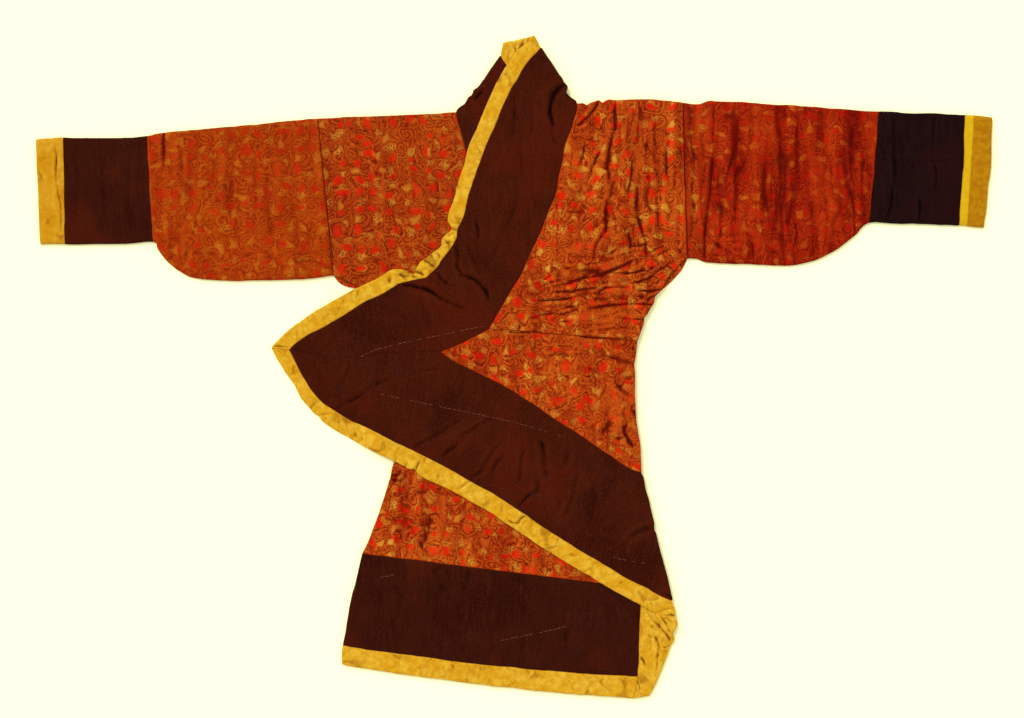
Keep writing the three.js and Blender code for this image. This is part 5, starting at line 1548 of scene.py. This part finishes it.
@dataclass(frozen=True)
class InnerFront:
    """The inner front and skirt, on the back."""

    def pieces(self) -> list[Piece]:
        """Inner front with its collar, and the skirt under the wrap with its hem and upright edging."""
        neck = Line.through([*COLLAR_INNER_NECK, *[row[2:] for row in FRONT_RIGHT]])
        seam = Line.through(COLLAR_INNER_SEAM)
        top_seam, top_free = INNER_EDGING_TOP
        edging_seam = Line.through([top_seam, *COLLAR_INNER_SEAM[:len(INNER_FREE_EDGE)]])
        edging_free = Line.through([top_free, *INNER_FREE_EDGE])
        hem = lines(HEM_INNER)
        bow = tuple(row[4] for row in HEM_INNER)
        upright = SKIRT_RIGHT.part(SKIRT_BOTTOM - 1, SKIRT_BOTTOM).then(hem[1])
        on_back = dict(bed=Bed.BACK, relief=UNDER)
        return [
            Piece("front_right", INNER_GAUZE, PRINT_SIDE, PRINT_COLLAR, edges=(J, S, S, S), grain=3,
                  rests_on=("back_right",), **on_back),
            Piece("collar_inner", BROWN, neck, seam, edges=(S, S, F, S), cell=5,
                  rests_on=("back_left",), **on_back),
            Piece("collar_inner_edging", OCHRE, edging_seam, edging_free, edges=(S, F, F, F), cell=4,
                  rests_on=("back_left",), **on_back),
            Piece("skirt_inner", GAUZE, SKIRT_LEFT, SKIRT_RIGHT, edges=(F, F, S, S), cell=3.8, grain=-4,
                  rests_on=("skirt_back",), **on_back),
            Piece("hem_border_inner", DARK_BROWN, *span(hem, 0, HEM_SEAM), edges=(F, S, S, S), cell=3.8,
                  bow=bow[:HEM_SEAM + 1], rests_on=("hem_border_back",), **on_back),
            Piece("hem_edging_inner", OCHRE, *span(hem, HEM_SEAM, HEM_END), edges=(F, S, S, F), grain=-7,
                  bow=bow[HEM_SEAM:], rests_on=("hem_edging_back",), **on_back),
            Piece("front_edging_inner", OCHRE, upright, Line.through(UPRIGHT_EDGE), edges=(S, F, F, F),
                  grain=80, rests_on=("hem_border_back",), **on_back),
        ]


@dataclass(frozen=True)
class OuterFront:
    """The outer front with its deep collar, and the wrap across the body."""

    def pieces(self) -> list[Piece]:
        """Outer front, collar, outer skirt, wrap border, edgings and the corner's facing."""
        chest_side = Line.through(FRONT_LEFT_SIDE, (UNDERARM,))
        shoulder_bow = (-SHOULDER_RISE, *[0.0] * (len(FRONT_LEFT_SIDE) - 1))
        waist = COLLAR_INNER.part(COLLAR_CORNER, COLLAR_POINT)
        skirt_left = waist.then(WRAP_UPPER.part(WRAP_POINT, WRAP_SKIRT_END))
        skirt_right = Line.through(SKIRT_OUTER_SIDE).part(0, SIDE_SKIRT_END)
        return [
            Piece("front_left", GAUZE, COLLAR_INNER.part(COLLAR_SHOULDER, COLLAR_CORNER), chest_side,
                  edges=(S, J, S, J), cell=2.8, grain=-3, bow=shoulder_bow,
                  rests_on=("front_right", "back_left")),
            Piece("collar_outer", BROWN, COLLAR_SEAM, COLLAR_INNER, rests_on=("collar_inner",)),
            Piece("collar_outer_edging", OCHRE, COLLAR_FREE, COLLAR_SEAM, edges=(F, S, F, S), cell=3.0,
                  grain=20, rests_on=("collar_inner_edging",)),
            Piece("skirt_outer", GAUZE, skirt_left, skirt_right, edges=(S, F, J, S), cell=3.0, grain=6,
                  rests_on=("skirt_inner",)),
            Piece("wrap_border", BROWN, WRAP_SEAM, WRAP_UPPER, cell=3.8, grain=-12,
                  rests_on=("skirt_inner",)),
            Piece("wrap_edging", OCHRE, WRAP_FREE, WRAP_SEAM, edges=(F, S, S, F), cell=3.0, grain=-30,
                  rests_on=("skirt_inner",)),
            Piece("corner_facing", OCHRE, *lines(CORNER), edges=(F, F, S, F), cell=2.4, grain=60,
                  rests_on=("front_edging_inner",)),
        ]


@dataclass(frozen=True)
class Sleeve:
    """One sleeve: printed cloth, brown cuff and ochre edging, all round."""

    side: str
    rows: Rows = field(repr=False)
    seam: int                           # row where the cuff begins
    edging: int                         # row where its edging begins
    grain: float = 2.0
    relief: Relief = TOP
    cloth: Finish = DEEP_GAUZE
    cuff: Finish = BROWN
    edge: Finish = OCHRE

    def pieces(self) -> list[Piece]:
        """Sleeve, cuff and cuff edging."""
        folds = lines(self.rows)
        spans = (("sleeve", self.cloth, 0, self.seam, (F, F, J, S)),
                 ("cuff", self.cuff, self.seam, self.edging, (F, F, S, S)),
                 ("cuff_edging", self.edge, self.edging, len(self.rows) - 1, (F, F, S, F)))
        return [Tube(f"{kind}_{self.side}", finish, *span(folds, first, last), relief=self.relief,
                     bed=Bed.FLOOR, edges=edges, grain=self.grain)
                for kind, finish, first, last, edges in spans]


@dataclass(frozen=True)
class Tacking:
    """Remains of tacking thread on the brown cloth: short stitches, with gaps where the thread is lost."""

    pitch: float = 12.0
    stitch: float = 10.0
    thick: float = 0.45
    kept: float = 0.85                  # share of the stitches that are left
    stray: float = 1.2                  # how far a stitch slips along its line
    skew: float = 0.5                   # and how far its end is off
    steps: int = 6                      # along a stitch, and round it

    def build(self, name: str, tracks: Sequence[Rows], relief: Relief, bed: Bed, seed: int,
              effects: Effects) -> Object:
        """Each stitch is a low arch of thread, thickest in its middle and let into the cloth at both ends:
        its height and its thickness go by the sine of the way along it.

        Args:
            name: The object's name.
            tracks: Points along each line of tacking.
            relief: The cloth's relief.
            bed: What the cloth lies on.
            seed: For the lost stitches.
            effects: The shared groups.

        Returns:
            One object with all the stitches.
        """
        chance = np.random.default_rng(seed)
        starts, ways = [], []
        for track in tracks:
            line = Line.through(track).points
            run = np.concatenate([[0], np.cumsum(np.hypot(*np.diff(line, axis=0).T))])
            at = np.arange(0, run[-1] - self.stitch, self.pitch)
            at = at[chance.random(len(at)) < self.kept]
            at = at + chance.uniform(-self.stray, self.stray, len(at))
            here = np.stack([np.interp(at, run, line[:, k]) for k in (0, 1)], -1)
            there = np.stack([np.interp(at + self.stitch, run, line[:, k]) for k in (0, 1)], -1)
            starts.append(here)
            ways.append(there - here + chance.normal(0, self.skew, here.shape))
        start, way = np.vstack(starts), np.vstack(ways)
        along = np.linspace(0, 1, self.steps)
        turn = np.linspace(0, 2 * np.pi, self.steps, endpoint=False)
        unit = way / np.hypot(*way.T)[:, None]
        side = np.stack([-unit[:, 1], unit[:, 0]], -1)
        fat = self.thick * (0.35 + 0.65 * np.sin(np.pi * along))
        start, way, side = (values[:, None, None] for values in (start, way, side))
        wide = fat[:, None] * np.cos(turn)
        x, y = (start[..., k] + way[..., k] * along[:, None] + side[..., k] * wide for k in (0, 1))
        surface = bed.height(x, y) + WALL + np.maximum(relief.height(x, y), THINNEST - WALL)
        z = surface + 0.55 * self.thick * np.sin(np.pi * along)[:, None] + 0.7 * fat[:, None] * np.sin(turn)
        count, rings, spokes = x.shape
        number = np.arange(rings * spokes).reshape(rings, spokes)
        wrapped = np.hstack([number, number[:, :1]])
        skin = np.stack([wrapped[:-1, :-1], wrapped[:-1, 1:], wrapped[1:, 1:], wrapped[1:, :-1]], -1)
        firsts = (np.arange(count) * rings * spokes)[:, None, None]
        quads = (skin.reshape(-1, 4)[None] + firsts).reshape(-1, 4).tolist()
        caps = np.concatenate([number[0, ::-1] + firsts[:, 0], number[-1] + firsts[:, 0]]).tolist()
        points = np.stack([x, y, z], -1).reshape(-1, 3)
        obj = make_mesh(name, points, quads + caps, points[:, :2])
        obj.data.materials.append(Thread().material(effects))
        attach(obj, "root")
        LOG.info("%s: %d stitches", name, count)
        return obj


@dataclass(frozen=True)
class Studio:
    """Pale floor, soft light from all round with a broad key from the upper left, and the camera overhead.
    Sizes are in metres and turns in degrees."""

    middle: tuple[float, float] = (-0.0049, 0.0196)
    view_width: float = 2.5088
    lens: float = 90.0
    sensor: float = 36.0
    view_depth: float = 100.0
    floor: Colour = (0.98, 0.98, 0.55)
    floor_half: float = 30.0
    floor_drop: float = 0.0004
    sky: Colour = (1.0, 0.995, 0.97)
    sky_strength: float = 1.05
    key: Colour = (1.0, 0.99, 0.96)
    key_strength: float = 2.3
    key_spread: float = 34.0
    key_tilt: tuple[float, float] = (-31.0, -28.0)

    def build(self) -> None:
        """Makes the floor, the lights and the camera."""
        self._floor()
        self._lights()
        self._camera()

    def _floor(self) -> None:
        """A flat sheet just under the robe."""
        half = self.floor_half
        mesh = bpy.data.meshes.new("floor")
        square = ((-half, -half), (half, -half), (half, half), (-half, half))
        mesh.from_pydata([(x, y, -self.floor_drop) for x, y in square], [], [(0, 1, 2, 3)])
        floor = bpy.data.objects.new("floor", mesh)
        bpy.context.scene.collection.objects.link(floor)
        material = bpy.data.materials.new("floor")
        material.use_nodes = True
        shader = material.node_tree.nodes["Principled BSDF"]
        shader.inputs["Base Color"].default_value = (*self.floor, 1.0)
        shader.inputs["Roughness"].default_value = 1.0
        shader.inputs["Specular IOR Level"].default_value = 0.0
        mesh.materials.append(material)

    def _lights(self) -> None:
        """An even pale world, and one broad sun."""
        world = bpy.data.worlds.new("studio")
        world.use_nodes = True
        sky = world.node_tree.nodes["Background"]
        sky.inputs["Color"].default_value = (*self.sky, 1.0)
        sky.inputs["Strength"].default_value = self.sky_strength
        bpy.context.scene.world = world
        sun = bpy.data.lights.new("key", "SUN")
        sun.energy = self.key_strength
        sun.angle = math.radians(self.key_spread)
        sun.color = self.key
        lamp = bpy.data.objects.new("key", sun)
        lamp.rotation_euler = (*map(math.radians, self.key_tilt), 0.0)
        bpy.context.scene.collection.objects.link(lamp)
        bpy.context.scene.view_settings.view_transform = "Standard"
        bpy.context.scene.view_settings.look = "None"

    def _camera(self) -> None:
        """Straight down, as wide as the view."""
        data = bpy.data.cameras.new("camera")
        data.lens = self.lens
        data.sensor_width = self.sensor
        data.clip_end = self.view_depth
        camera = bpy.data.objects.new("camera", data)
        camera.location = (*self.middle, self.view_width * self.lens / self.sensor)
        bpy.context.scene.collection.objects.link(camera)
        bpy.context.scene.camera = camera


def main() -> None:
    """Builds the studio, then the robe layer by layer from the floor up, and notes its size."""
    logging.basicConfig(level=logging.INFO, format="%(name)s: %(message)s")
    Studio().build()
    effects = Effects()
    sleeves = (Sleeve("right", SLEEVE_RIGHT, seam=9, edging=12, relief=SIDE, cloth=SLEEVE_GAUZE,
                      cuff=DARK_BROWN, edge=RIGHT_OCHRE),
               Sleeve("left", SLEEVE_LEFT, seam=10, edging=13, cuff=BLACK_BROWN, edge=LEFT_OCHRE))
    for part in (Back(), InnerFront(), OuterFront(), *sleeves):
        for piece in part.pieces():
            piece.build(effects)
    tacking = Tacking()
    tacking.build("tacking_wrap", WRAP_TACKS, TOP, Bed.INNER, 21, effects)
    tacking.build("tacking_hem", HEM_TACKS, UNDER, Bed.BACK, 22, effects)
    LOG.info("%d triangles", sum(len(mesh.loops) - 2 * len(mesh.polygons) for mesh in bpy.data.meshes))


if __name__ == "__main__":
    main()
